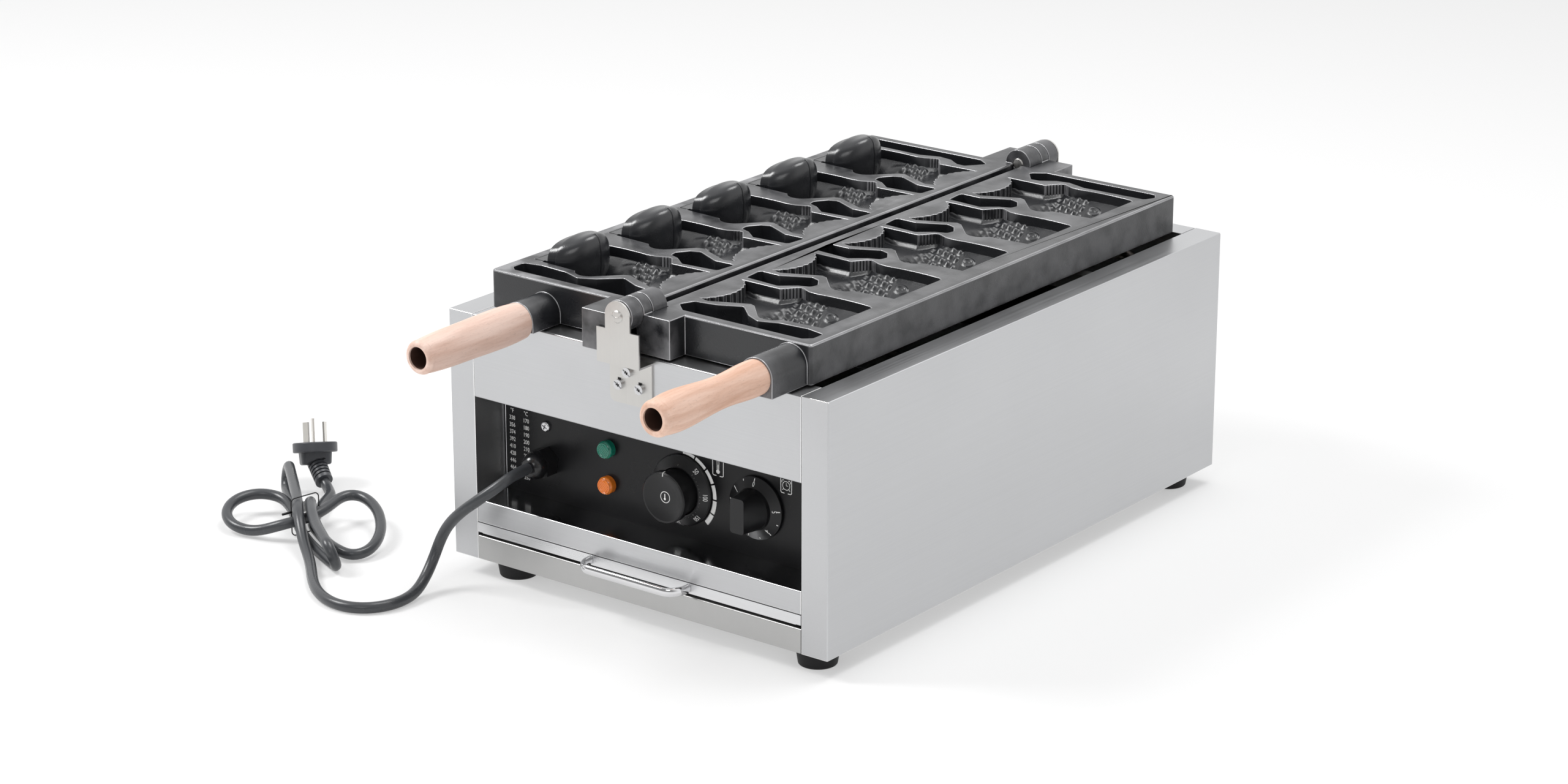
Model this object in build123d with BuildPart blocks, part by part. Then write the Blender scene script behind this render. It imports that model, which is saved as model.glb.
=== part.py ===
"""Countertop taiyaki maker: two swinging cast moulds, each with five fish, on a steel case.

X runs to the right, Y to the back and Z up, in millimetres.  The machine stands on z = 0,
with the middle of its outline, handles included, over the origin.
"""
from build123d import *
import math
import os

os.makedirs("parts", exist_ok=True)

# ---------------------------------------------------------------- driving dimensions
# Case
case_h = 203.7             # without the feet; width and depth follow from the moulds
sheet = 1.2                # stainless sheet
bend_r = 1.1               # outer radius of a folded edge
foot_h = 16.0
screw_d = 4.0              # of the hinge brackets and the control panel
screw_play = 0.1
handle_reach = 142.0       # front face to the tip of the longer handle
rear_reach = 18.5          # back face to the end of the rear hinge pin
seam = 0.3                 # gap where two folded panels meet
pillar_w = 24.5            # front post of a side panel
rim_front = 25.0           # front rim round the mould opening
rim_back = 22.0
rim_gap = 5.0              # between the moulds and the side rims
hem = 11.0                 # rim edge folded down into the opening

edge_play = 0.1            # reach of a search for edges round a face
flange_w = 15.0            # back flange of a side panel
back_screw_in = 7.5        # from the outside of the side panels
back_screw_end = 25.0      # from the ends of the flange
back_screw_d = 3.0
back_screw_head_d = 6.0
vent_w = 46.0              # slots in the back and the base
vent_h = 4.0
vent_pitch = 62.0
vent_row = 10.4

# Control recess and tray slot, heights above the bottom of the case
strip_top = 20.0
tray_slot_low = 23.0
tray_slot_high = 31.3
shelf_z = 50.3
recess_top = 135.6
recess_d = 35.0
panel_t = 1.5
shelf_back = 13.0          # how far the shelf runs behind the panel's face
shelf_lip = 12.0

# Moulds
mould_lift = 1.8           # above the rims
mould_t = 31.25
mating_gap = 0.5           # left between the two moulds when one lies on the other
mould_in = 4.7             # inner edge, from the hinge axis
mould_wall = 10.0          # outer wall, beside the seats of the mouth cores
mould_front = 18.0         # behind the case front
mould_back = 26.0          # before the case back
fish_count = 5
fish_pitch = 90.0
fish_first = 69.0          # middle of the first fish, from the mould's front edge
fish_last = 67.0           # and of the last fish, from its back edge
mould_edge = 1.0           # chamfer round the face
mould_corner = 3.0         # radius of the upright edges
mouth_u = 136.9            # open end of a cavity, from the hinge axis
cavity_d = 25.5
cavity_draft = 16.0         # degrees, of the walls of its deep part
tail_d = 13.0
pocket_d = 20.0
underside_d = 2.0
underside_rim = 9.0

# Hinge, stations measured from the case front or, at the rear, from its back
pin_d = 10.0
pin_play = 0.05            # radial, between a pin and a knuckle
knuckle_r = 12.5
knuckle_gap = 0.8          # round and beside a knuckle
lug_out = 37.0             # outer side of a lug block
lug_left_reach = 14.0      # how far the left lug block stands out
lug_right_reach = 0.0
lug_root = 6.0             # how far a lug block runs into the mould
knuckle_mid = 10.0         # length of the right mould's knuckle
knuckle_inner = 17.0       # length of the left mould's inner knuckle

# Mould handles
boss_w = 30.0
boss_root = 4.0            # how far a boss runs into the mould
left_handle_x = 101.0
left_handle_z = 7.5        # above the bottom of the mould
left_boss_reach = 14.0
left_handle_len = 113.0
right_handle_x = 137.0
right_handle_z = 14.5
right_boss_reach = 24.0
handle_bore = 17.7
handle_bore_d = 26.0
bolt_d = 8.0
bolt_head_d = 13.0
bolt_head_h = 8.0
bolt_grip = 24.0           # length held in the boss

# Mouth cores
core_seat_out = 145.5      # outer end of the core's seat, from the hinge axis
core_seat_w = 58.0
core_seat_h = 24.0
core_collar = 134.0        # where the collar starts
core_collar_h = 13.5       # above the hinge axis
core_step = 1.6            # from the end of the collar up to the bulb
core_ridge = 126.3         # ridge between collar and bulb
core_nose = 102.0
core_half_w = 27.3
core_half_h = 17.0
core_swell = 4.5           # how much the bulb grows from the ridge towards the nose

# Controls, x from the middle and z above the bottom of the case
thermostat_x = 20.0
thermostat_z = 89.0
dial_r = 28.5
dial_h = 6.5
knob_stem_r = 18.6
knob_cap_r = 20.6
knob_h = 24.5
knob_cap_h = 6.5
timer_x = 92.0
timer_z = 91.0
timer_skirt_r = 25.0
timer_skirt_h = 5.6
timer_hub_r = 16.8
timer_h = 25.0
grip_w = 13.0
grip_len = 28.0
shaft_d = 6.0
knob_gap = 0.6
lamp_x = -54.0
power_lamp_z = 106.0
heat_lamp_z = 76.5
lamp_d = 14.4
lamp_h = 7.0
lamp_body_d = 11.5
lamp_body_len = 24.0
gland_x = -117.0
gland_z = 82.0
gland_af = 22.0
gland_hex = 12.0
gland_nut = 11.0
gland_thread_d = 16.0
gland_thread_len = 12.0
gland_grip = 4.0           # how far the cord starts inside the gland's mouth
cord_d = 9.0
panel_screw_x = -117.1
panel_screw_z = 110.7
panel_screw_d = 8.6

# Crumb tray
tray_side = 4.7            # its sides stand in from the ends of its front strip
tray_back = 40.0           # before the case back
tray_wall = 7.0
tray_handle_x = 4.8
tray_handle_w = 97.0       # over the middle of its legs
tray_handle_h = 7.4
tray_handle_t = 4.4
tray_handle_reach = 18.0   # middle of the bar, before the case front
tray_handle_bend = 13.0

# Power cord: its hank lies left of the case, tied in the middle with a wire
hank_x = -334.7
hank_y = -17.0             # behind the case front
hank_turn = 45.0           # about Z
stub_r = 10.2              # centre line of the tight folds
tie_d = 1.0
tie_half = 13.6
tie_low = 0.7
tie_high = 32.6
tie_turn = 34.0            # about Z, within the hank
plug_tilt = 21.0
plug_turn = 12.0
flange_r = 18.8
flange_h = 8.5
plug_w = 27.0
plug_t = 19.0
plug_h = 10.4
neck_r = 7.6
blade_w = 6.35
blade_t = 1.6
blade_len = 17.0
earth_len = 20.5
blade_out = 7.9            # live blades, from the middle of the plug
blade_near = 4.5
earth_far = 5.8

# Inside
partition_y = 112.0        # inner partition, behind the case front
partition_flange = 12.0
wire_h = 12.0              # height of the opening for the wires
heater_d = 8.5
heater_drop = 21.7         # middle of the heaters, below the top of the case
heater_in = 28.0
heater_out = 132.0
heater_tail = 10.0         # cold ends in front of the partition
heater_play = 0.3
support_h = 14.0           # both flanges of the angle

terminal_count = 5
terminal_pitch = 12.0
terminal_x = -60.0         # first terminal
terminal_d = 18.0
terminal_h = 22.0
terminal_well_r = 3.2

# ---------------------------------------------------------------- derived places
mould_out = core_seat_out + mould_wall
mould_len = fish_first + (fish_count - 1) * fish_pitch + fish_last
half_w = mould_out + rim_gap + pillar_w
case_d = mould_front + mould_len + mould_back
front = -(handle_reach + case_d + rear_reach) / 2 + handle_reach
back = front + case_d
bottom = foot_h
top = bottom + case_h
inner_w = half_w - sheet
post_in = half_w - pillar_w
bay_w = post_in - seam
axis_z = top + mould_lift + mould_t + mating_gap / 2
mould_top = axis_z - mating_gap / 2
mould_bottom = mould_top - mould_t
mould_y0 = front + mould_front
mould_y1 = mould_y0 + mould_len
panel_y = front + recess_d
fish_y = [mould_y0 + fish_first + n * fish_pitch for n in range(fish_count)]
tray_front = bay_w         # half width of its front strip
tray_half_w = tray_front - tray_side
heater_z = case_h - heater_drop
terminal_top = bottom + gland_z + 6
notch_r = knuckle_r + knuckle_gap
back_screw_z = (bottom + back_screw_end, top - back_screw_end)


def block(x0, x1, y0, y1, z0, z1, mode=Mode.ADD):
    """Box between two corners."""
    with Locations(((x0 + x1) / 2, (y0 + y1) / 2, (z0 + z1) / 2)):
        Box(abs(x1 - x0), abs(y1 - y0), abs(z1 - z0), mode=mode)


def rod(radius, x, z, y0, y1, mode=Mode.ADD):
    """Cylinder along Y between two stations."""
    with Locations((x, (y0 + y1) / 2, z)):
        Cylinder(radius, abs(y1 - y0), rotation=(-90, 0, 0), mode=mode)


def post(radius, x, y, z0, z1, mode=Mode.ADD):
    """Upright cylinder between two heights."""
    with Locations((x, y, (z0 + z1) / 2)):
        Cylinder(radius, z1 - z0, mode=mode)


def save(part, name):
    part.label = name
    export_step(part, f"parts/{name}.step")


# ---------------------------------------------------------------- case panels
for side, name in ((-1, "side_panel_left"), (1, "side_panel_right")):
    with BuildPart() as side_panel:
        with BuildSketch(Plane.XZ.offset(-front)):
            with BuildLine():
                Polyline(
                    (side * post_in, top),
                    (side * half_w, top),
                    (side * half_w, bottom),
                    (side * (half_w - pillar_w / 2), bottom),
                    (side * (half_w - pillar_w / 2), bottom + sheet),
                    (side * inner_w, bottom + sheet),
                    (side * inner_w, top - sheet),
                    (side * (post_in + sheet), top - sheet),
                    (side * (post_in + sheet), top - hem),
                    (side * post_in, top - hem),
                    close=True,
                )
            make_face()
        extrude(amount=-case_d)
        # front post: face and the wall of the control recess
        block(side * post_in, side * half_w, front, front + sheet, bottom, top)
        block(side * post_in, side * (post_in + sheet), front, panel_y + panel_t, bottom, top)
        # the hem stops at the rear rim
        block(side * post_in, side * (post_in + sheet), back - rim_back, back, top - hem, top - sheet,
              mode=Mode.SUBTRACT)
        # back flange that the back panel is screwed to
        block(side * (half_w - flange_w), side * half_w, back - sheet, back, bottom, top)
        outer = side_panel.edges().filter_by_position(
            Axis.X, side * half_w - edge_play, side * half_w + edge_play
        )
        fillet(
            outer.filter_by(Axis.Z) + outer.filter_by(Axis.Y).sort_by(Axis.Z)[-1:],
            radius=bend_r,
        )
        with Locations(*[
            Location((side * (half_w - back_screw_in), back - sheet / 2, z), (90, 0, 0))
            for z in back_screw_z
        ]):
            Hole(back_screw_d / 2 + screw_play, depth=2 * sheet)
    save(side_panel.part, name)

bracket_hole = [(x, case_h - drop) for x, drop in ((-2.6, 14.8), (-11.2, 25.9), (9.1, 26.0))]

with BuildPart() as front_panel:
    block(-bay_w, bay_w, front, front + sheet, bottom + recess_top, top)
    block(-bay_w, bay_w, front, front + rim_front, top - sheet, top)
    block(-bay_w, bay_w, front + rim_front - sheet, front + rim_front, top - hem, top)
    block(-bay_w, bay_w, front, panel_y + 2 * panel_t, bottom + recess_top, bottom + recess_top + sheet)
    fillet(
        front_panel.edges()
        .filter_by(Axis.X)
        .filter_by_position(Axis.Y, front - edge_play, front + edge_play),
        radius=bend_r,
    )
    with Locations(*[Location((x, front, bottom + z), (90, 0, 0)) for x, z in bracket_hole]):
        Hole(screw_d / 2 + screw_play, depth=3 * sheet)
save(front_panel.part, "front_panel")

with BuildPart() as back_panel:
    y1 = back - sheet
    block(-(inner_w - seam), inner_w - seam, y1 - sheet, y1, bottom + sheet + seam, top - sheet - seam)
    block(-bay_w, bay_w, y1 - sheet, y1, top - 2 * sheet, top)
    block(-bay_w, bay_w, back - rim_back, y1, top - sheet, top)
    block(-bay_w, bay_w, back - rim_back, back - rim_back + sheet, top - hem, top)
    with BuildSketch(Plane.XZ.offset(-back)):
        with GridLocations(vent_pitch, vent_row, 4, 5):
            with Locations((0, bottom + 0.52 * case_h)):
                SlotOverall(vent_w, vent_h)
    extrude(amount=4 * sheet, both=True, mode=Mode.SUBTRACT)
    with Locations(*[
        Location((side * (half_w - back_screw_in), y1 - sheet / 2, z), (90, 0, 0))
        for side in (-1, 1)
        for z in back_screw_z
    ]):
        Hole(back_screw_d / 2 + screw_play, depth=3 * sheet)
    with Locations(*[Location((x, y1, bottom + z), (90, 0, 0)) for x, z in bracket_hole]):
        Hole(screw_d / 2 + screw_play, depth=3 * sheet)
save(back_panel.part, "back_panel")

foot_in = 28.0             # from the side panels
foot_x = half_w - foot_in
foot_y = 25.5
front_left_in = 44.0       # this foot stands further in
foot_places = {
    "foot_front_left": (front_left_in - half_w, front + foot_y),
    "foot_front_right": (foot_x, front + foot_y),
    "foot_rear_left": (-foot_x, back - foot_y),
    "foot_rear_right": (foot_x, back - foot_y),
}
foot_screw_d = 5.0
foot_low_r = 15.0
foot_top_r = 17.5
foot_recess = 6.0          # depth and radius of the recess for its screw's head
foot_recess_r = 5.5

with BuildPart() as base_plate:
    block(-bay_w, bay_w, front, back - 2 * sheet - seam, bottom, bottom + sheet)
    block(-bay_w, bay_w, front, front + sheet, bottom, bottom + strip_top)
    block(-bay_w, bay_w, front, front + 8, bottom + strip_top - sheet, bottom + strip_top)
    # edges lapped over the bottom flanges of the side panels
    for side in (-1, 1):
        block(side * (bay_w - 1), side * (inner_w - seam), front + 40, back - 2 * sheet - seam,
              bottom + sheet, bottom + 2 * sheet)
    fillet(
        base_plate.edges()
        .filter_by(Axis.X)
        .filter_by_position(Axis.Y, front - edge_play, front + edge_play),
        radius=bend_r,
    )
    with BuildSketch(Plane.XY.offset(bottom)):
        with GridLocations(70, 16, 3, 8):
            SlotOverall(vent_w, vent_h)
    extrude(amount=3 * sheet, both=True, mode=Mode.SUBTRACT)
    for x, y in foot_places.values():
        post(foot_screw_d / 2 + screw_play, x, y, bottom - 1, bottom + 3 * sheet, mode=Mode.SUBTRACT)
save(base_plate.part, "base_plate")

with BuildPart() as control_shelf:
    block(-bay_w, bay_w, front, front + sheet, bottom + tray_slot_high + seam, bottom + shelf_z)
    shelf_y1 = panel_y + shelf_back
    block(-bay_w, bay_w, front, shelf_y1, bottom + shelf_z - sheet, bottom + shelf_z)
    block(-bay_w, bay_w, shelf_y1 - sheet, shelf_y1, bottom + shelf_z - sheet, bottom + shelf_z + shelf_lip)
    fillet(
        control_shelf.edges()
        .filter_by(Axis.X)
        .filter_by_position(Axis.Y, front - edge_play, front + edge_play)
        .sort_by(Axis.Z)[-1],
        radius=bend_r,
    )
    # ears that carry it between the posts
    for side in (-1, 1):
        block(side * (bay_w - sheet), side * post_in, front + 6, panel_y + 8,
              bottom + tray_slot_high + 4, bottom + shelf_z - sheet)
save(control_shelf.part, "control_shelf")

with BuildPart() as control_panel:
    block(-bay_w, bay_w, panel_y, panel_y + panel_t, bottom + shelf_z, bottom + recess_top)
    for x, z, radius in (
        (thermostat_x, thermostat_z, shaft_d / 2 + 2),
        (timer_x, timer_z, shaft_d / 2 + 2),
        (lamp_x, power_lamp_z, lamp_body_d / 2),
        (lamp_x, heat_lamp_z, lamp_body_d / 2),
        (gland_x, gland_z, gland_thread_d / 2),
        (panel_screw_x, panel_screw_z, screw_d / 2),
    ):
        rod(radius, x, bottom + z, panel_y - 1, panel_y + panel_t + 1, mode=Mode.SUBTRACT)
save(control_panel.part, "control_panel")

with BuildPart() as inner_partition:
    py = front + partition_y
    low, high = bottom + tray_slot_high + 3, top - hem - 4
    block(-inner_w, inner_w, py, py + sheet, low, high)
    for side in (-1, 1):
        block(side * (inner_w - sheet), side * inner_w, py - partition_flange, py, low, high)
    # wire opening and the holes for the cold ends of the heaters
    with Locations((0, py, low + wire_h)):
        Box(40, 4 * sheet, wire_h, mode=Mode.SUBTRACT)
    for x in (-heater_out, -heater_in, heater_in, heater_out):
        rod(heater_d / 2 + heater_play, x, bottom + heater_z, py - 1, py + sheet + 1, mode=Mode.SUBTRACT)
save(inner_partition.part, "inner_partition")

# ---------------------------------------------------------------- crumb tray and its rails
tray_floor = bottom + tray_slot_low - 0.4
tray_play = 0.6
rail_lip = 9.0             # ledge that the tray runs on
rail_y0 = panel_y + 4
rail_y1 = back - tray_back + 10
for side, name in ((-1, "tray_rail_left"), (1, "tray_rail_right")):
    with BuildPart() as tray_rail:
        with BuildSketch(Plane.XZ.offset(-rail_y0)):
            web = tray_half_w + tray_play
            low = tray_floor - tray_play
            high = tray_floor + tray_wall + tray_play
            with BuildLine():
                Polyline(
                    (side * (web - rail_lip), low),
                    (side * web, low),
                    (side * web, high),
                    (side * (web - 3), high),
                    (side * (web - 3), high + sheet),
                    (side * (web + sheet), high + sheet),
                    (side * (web + sheet), bottom + sheet),
                    (side * web, bottom + sheet),
                    (side * web, low - sheet),
                    (side * (web - rail_lip), low - sheet),
                    close=True,
                )
            make_face()
        extrude(amount=-(rail_y1 - rail_y0))
    save(tray_rail.part, name)

tray_y1 = back - tray_back
with BuildPart() as crumb_tray:
    block(-tray_half_w, tray_half_w, front, tray_y1, tray_floor, tray_floor + sheet)
    block(-tray_front, tray_front, front, front + sheet,
          bottom + tray_slot_low, bottom + tray_slot_high - seam)
    for side in (-1, 1):
        block(side * (tray_half_w - sheet), side * tray_half_w, front, tray_y1,
              tray_floor, tray_floor + tray_wall)
    block(-tray_half_w, tray_half_w, tray_y1 - sheet, tray_y1, tray_floor, tray_floor + tray_wall)
save(crumb_tray.part, "crumb_tray")

bow_z = bottom + (tray_slot_low + tray_slot_high - seam) / 2
with BuildPart() as tray_handle:
    with BuildLine() as bow:
        FilletPolyline(
            (tray_handle_x - tray_handle_w / 2, front, bow_z),
            (tray_handle_x - tray_handle_w / 2, front - tray_handle_reach, bow_z),
            (tray_handle_x + tray_handle_w / 2, front - tray_handle_reach, bow_z),
            (tray_handle_x + tray_handle_w / 2, front, bow_z),
            radius=tray_handle_bend,
        )
    with BuildSketch(Plane(bow.line @ 0, x_dir=(1, 0, 0), z_dir=bow.line % 0)):
        Ellipse(tray_handle_t / 2, tray_handle_h / 2)
    sweep()
save(tray_handle.part, "tray_handle")

# ---------------------------------------------------------------- feet
with BuildPart() as foot:
    with BuildSketch():
        Circle(foot_low_r)
    with BuildSketch(Plane.XY.offset(foot_h)):
        Circle(foot_top_r)
    loft()
    fillet(foot.edges().sort_by(Axis.Z)[0], radius=1.5)
    post(foot_screw_d / 2, 0, 0, foot_recess, foot_h + 1, mode=Mode.SUBTRACT)
    post(foot_recess_r, 0, 0, -1, foot_recess, mode=Mode.SUBTRACT)
for name, (x, y) in foot_places.items():
    save(foot.part.moved(Location((x, y, 0))), name)

with BuildPart() as foot_screws:
    for x, y in foot_places.values():
        post(foot_screw_d / 2, x, y, foot_recess - 1, bottom + 12)
        post(foot_recess_r - 0.9, x, y, foot_recess - 3.4, foot_recess)
save(foot_screws.part, "foot_screws")

# ---------------------------------------------------------------- hinge brackets, pins and screws
bracket_t = 1.5
bracket_step = 15.0        # how far the upper flange stands out
bracket_w = 41.0
tab_r = 12.0
flange_low = case_h - 40.7  # heights above the bottom of the case
step_z = case_h - 3.7
shoulder_z = case_h + 22.3

for sign, face, name in ((-1, front, "hinge_bracket_front"), (1, back - sheet, "hinge_bracket_rear")):
    # sign points outwards along Y, face is the sheet that the lower flange lies on
    reach = bracket_step if sign < 0 else bracket_step + sheet
    with BuildPart() as hinge_bracket:
        block(-bracket_w / 2, bracket_w / 2, face, face + sign * bracket_t,
              bottom + flange_low, bottom + step_z)
        fillet(
            hinge_bracket.edges().filter_by(Axis.Y).group_by(Axis.Z)[0],
            radius=5.0,
        )
        block(-bracket_w / 2, bracket_w / 2, face, face + sign * (reach + bracket_t),
              bottom + step_z - bracket_t, bottom + step_z)
        block(-bracket_w / 2, bracket_w / 2, face + sign * reach, face + sign * (reach + bracket_t),
              bottom + step_z - bracket_t, bottom + shoulder_z)
        block(-tab_r, tab_r, face + sign * reach, face + sign * (reach + bracket_t),
              bottom + shoulder_z - 4, axis_z)
        rod(tab_r, 0, axis_z, face + sign * reach, face + sign * (reach + bracket_t))
        rod(pin_d / 2, 0, axis_z, face + sign * (reach - 1), face + sign * (reach + bracket_t + 1),
            mode=Mode.SUBTRACT)
        for x, z in bracket_hole:
            rod(screw_d / 2 + screw_play, x, bottom + z, face - 4 * sign, face + 4 * sign, mode=Mode.SUBTRACT)
    save(hinge_bracket.part, name)

# knuckle stations: left mould's outer knuckle, right mould's, left mould's inner knuckle
stations = {}
for end, origin, sign in (("front", front, 1), ("rear", back, -1)):
    outer_start = -lug_left_reach
    outer_end = lug_right_reach - knuckle_gap
    mid_start = lug_right_reach
    mid_end = mid_start + knuckle_mid
    inner_start = mid_end + knuckle_gap
    inner_end = inner_start + knuckle_inner
    stations[end] = {
        "outer": sorted((origin + sign * outer_start, origin + sign * outer_end)),
        "mid": sorted((origin + sign * mid_start, origin + sign * mid_end)),
        "inner": sorted((origin + sign * inner_start, origin + sign * inner_end)),
        "pin": sorted((origin - sign * (bracket_step + bracket_t + 1.0), origin + sign * (inner_end + 0.4))),
        "bore": sorted((origin - sign * (bracket_step + 4), origin + sign * (inner_end + 1.2))),
        "notch": sorted((
            origin + sign * (inner_start - knuckle_gap),
            origin + sign * (inner_end + knuckle_gap),
        )),
    }

for end in ("front", "rear"):
    with BuildPart() as hinge_pin:
        rod(pin_d / 2, 0, axis_z, *stations[end]["pin"])
        chamfer(hinge_pin.edges().filter_by(GeomType.CIRCLE), length=0.8)
    save(hinge_pin.part, f"hinge_pin_{end}")

with BuildPart() as bracket_screws:
    for sign, face in ((-1, front - bracket_t), (1, back - sheet + bracket_t)):
        for x, z in bracket_hole:
            rod(screw_d / 2, x, bottom + z, face, face - sign * 9)
            rod(screw_d, x, bottom + z, face, face + sign * 2.6)
            with Locations((x, face + sign * 2.6, bottom + z)):
                Box(2 * screw_d + 1, 1.6, 1.1, rotation=(0, 35, 0), mode=Mode.SUBTRACT)
save(bracket_screws.part, "bracket_screws")

with BuildPart() as back_panel_screws:
    for side in (-1, 1):
        for z in back_screw_z:
            rod(back_screw_d / 2, side * (half_w - back_screw_in), z, back - 8, back)
            rod(back_screw_head_d / 2, side * (half_w - back_screw_in), z, back, back + 1.8)
save(back_panel_screws.part, "back_panel_screws")

# ---------------------------------------------------------------- moulds
tooth_count = 9
tooth_d = 1.6


def fish_sketch(side, y):
    """One fish on the mould's face, from its tail, near the hinge, to its open mouth."""
    tail_high = (16.5, 27.5)
    tail_mid = (30.5, -1.0)
    tail_low = (19.5, -28.0)
    with BuildSketch(Plane((0, y, mould_top))) as fish:
        with BuildLine():
            Polyline(*[(side * u, v) for u, v in (tail_high, (53.5, 26.5), (62.0, 37.5), (65.5, 39.0))])
            Polyline(*[(side * u, v) for u, v in ((65.5, 39.0), (75.0, 34.2), (84.0, 33.4))])
            ThreePointArc((side * 84.0, 33.4), (side * 108.0, 34.8), (side * 133.5, 33.0))
            Polyline(*[
                (side * u, v)
                for u, v in ((133.5, 33.0), (mouth_u, 30.5), (mouth_u, -30.5), (101.0, -33.0))
            ])
            ThreePointArc((side * 101.0, -33.0), (side * 89.5, -39.8), (side * 80.5, -36.0))
            Polyline(*[
                (side * u, v)
                for u, v in ((80.5, -36.0), (64.0, -18.5), (59.0, -16.5), (28.0, -30.5), tail_low)
            ])
            # saw teeth along the hollow end of the tail
            curve = ThreePointArc(
                *[(side * u, v) for u, v in (tail_low, tail_mid, tail_high)],
                mode=Mode.PRIVATE,
            )
            saw = [curve @ 0]
            for n in range(tooth_count):
                tip = curve @ ((n + 0.5) / tooth_count)
                saw.append((tip.X + side * tooth_d, tip.Y))
                saw.append(curve @ ((n + 1) / tooth_count))
            Polyline(*saw)
        make_face()
    return fish.sketch


def deep_sketch(side, y, inset=1.0):
    """The deep part of a fish, from behind its tail to the mouth, drawn in from the outline."""
    points = (
        (57.0 + inset, 22.0), (66.5, 37.5 - inset), (84.0, 33.4 - inset), (133.0, 33.0 - inset),
        (mouth_u, 28.0), (mouth_u, -28.0), (133.0, -31.5 + inset), (101.0, -33.0 + inset),
        (89.5, -38.0 + inset), (66.0, -18.5 + inset), (57.0 + inset, -12.0),
    )
    with BuildSketch(Plane((0, y, mould_top - tail_d + 1))) as deep:
        with BuildLine():
            Polyline(*[(side * u, v) for u, v in points], close=True)
        make_face()
    return deep.sketch


def pocket_sketch(side, y, points):
    with BuildSketch(Plane((0, y, mould_top))) as pocket:
        with BuildLine():
            Polyline(*[(side * u, v) for u, v in points], close=True)
        make_face()
        fillet(pocket.vertices(), radius=pocket_corner)
    return pocket.sketch


pocket_corner = 3.0
# lightening pockets, y from the middle of the fish in front of (or beside) each
between_fish = ((12.5, 54.0), (32.0, 53.5), (55.0, 65.0), (63.0, 62.0), (70.0, 52.0),
                (68.5, 45.0), (59.0, 41.5), (47.0, 31.8), (14.5, 34.5))
front_end = ((21.0, -37.5), (40.0, -34.0), (58.5, -25.0), (74.0, -39.5), (88.0, -46.5),
             (104.0, -40.5), (130.0, -38.5), (146.0, -42.0), (146.0, -54.0), (140.0, -59.5),
             (27.5, -59.5), (16.0, -49.0))
back_end = ((22.0, 50.0), (34.0, 58.5), (141.0, 58.5), (146.0, 51.0), (141.5, 41.5),
            (84.0, 40.0), (66.0, 45.5), (54.0, 43.5), (42.0, 35.5), (34.0, 35.0))


def add_mould_body(side, boss_x, boss_z, boss_reach, lug_reach):
    """Plate, lug blocks and handle boss of one mould, before its cavities are cut."""
    with BuildSketch(Plane.XY.offset(mould_bottom)) as plate:
        with Locations((side * (mould_in + mould_out) / 2, (mould_y0 + mould_y1) / 2)):
            RectangleRounded(mould_out - mould_in, mould_len, mould_corner)
    extrude(plate.sketch, amount=mould_t - mould_edge)
    with BuildSketch(Plane.XY.offset(mould_top - mould_edge)) as rim:
        with Locations((side * (mould_in + mould_out) / 2, (mould_y0 + mould_y1) / 2)):
            RectangleRounded(mould_out - mould_in, mould_len, mould_corner)
    extrude(rim.sketch, amount=mould_edge, taper=45)
    for end_y, inside_y in (
        (front - lug_reach, mould_y0 + lug_root),
        (back + lug_reach, mould_y1 - lug_root),
    ):
        block(side * mould_in, side * lug_out, end_y, inside_y, mould_bottom, mould_top)
    with BuildSketch(Plane.XZ.offset(-(mould_y0 + boss_root))) as boss:
        with Locations((boss_x, boss_z)):
            Circle(boss_w / 2)
        with Locations((boss_x, (mould_bottom + boss_z) / 2)):
            Rectangle(boss_w, boss_z - mould_bottom)
        with Locations((boss_x, mould_bottom - boss_w / 2)):
            Rectangle(2 * boss_w, boss_w, mode=Mode.SUBTRACT)
    extrude(boss.sketch, amount=mould_y0 + boss_root - (front - boss_reach))


def cut_notch(side, span):
    """Room in one mould for a knuckle of the other."""
    block(side * (mould_in - 2), side * notch_r, span[0], span[1], axis_z - notch_r, mould_top + 1,
          mode=Mode.SUBTRACT)


def add_knuckle(side, span):
    rod(knuckle_r, 0, axis_z, *span)
    block(side * (mould_in + 1), side * knuckle_r * 0.8, span[0], span[1],
          axis_z - knuckle_r, mould_top)


def cut_bores():
    for end in ("front", "rear"):
        rod(pin_d / 2 + pin_play, 0, axis_z, *stations[end]["bore"], mode=Mode.SUBTRACT)


def cut_cavities(side):
    for n, y in enumerate(fish_y):
        extrude(fish_sketch(side, y), amount=-tail_d, mode=Mode.SUBTRACT)
        extrude(deep_sketch(side, y), amount=-(cavity_d - tail_d + 1), taper=cavity_draft, mode=Mode.SUBTRACT)
        if n < fish_count - 1:
            extrude(pocket_sketch(side, y, between_fish), amount=-pocket_d, mode=Mode.SUBTRACT)
    extrude(pocket_sketch(side, fish_y[0], front_end), amount=-pocket_d, mode=Mode.SUBTRACT)
    extrude(pocket_sketch(side, fish_y[-1], back_end), amount=-pocket_d, mode=Mode.SUBTRACT)
    # shallow relief underneath, inside a rim
    block(side * (mould_in + underside_rim), side * (mould_out - underside_rim),
          mould_y0 + underside_rim, mould_y1 - underside_rim,
          mould_bottom - 1, mould_bottom + underside_d, mode=Mode.SUBTRACT)


def cut_bolt_hole(boss_x, boss_z, boss_reach):
    y0 = front - boss_reach
    rod(bolt_d / 2, boss_x, boss_z, y0 - 1, y0 + bolt_grip + 2, mode=Mode.SUBTRACT)


left_boss_z = mould_bottom + left_handle_z
right_boss_z = mould_bottom + right_handle_z
seat_play = 0.1
seat_in = 130.0            # inner end of the seats cut for the mouth cores

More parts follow.
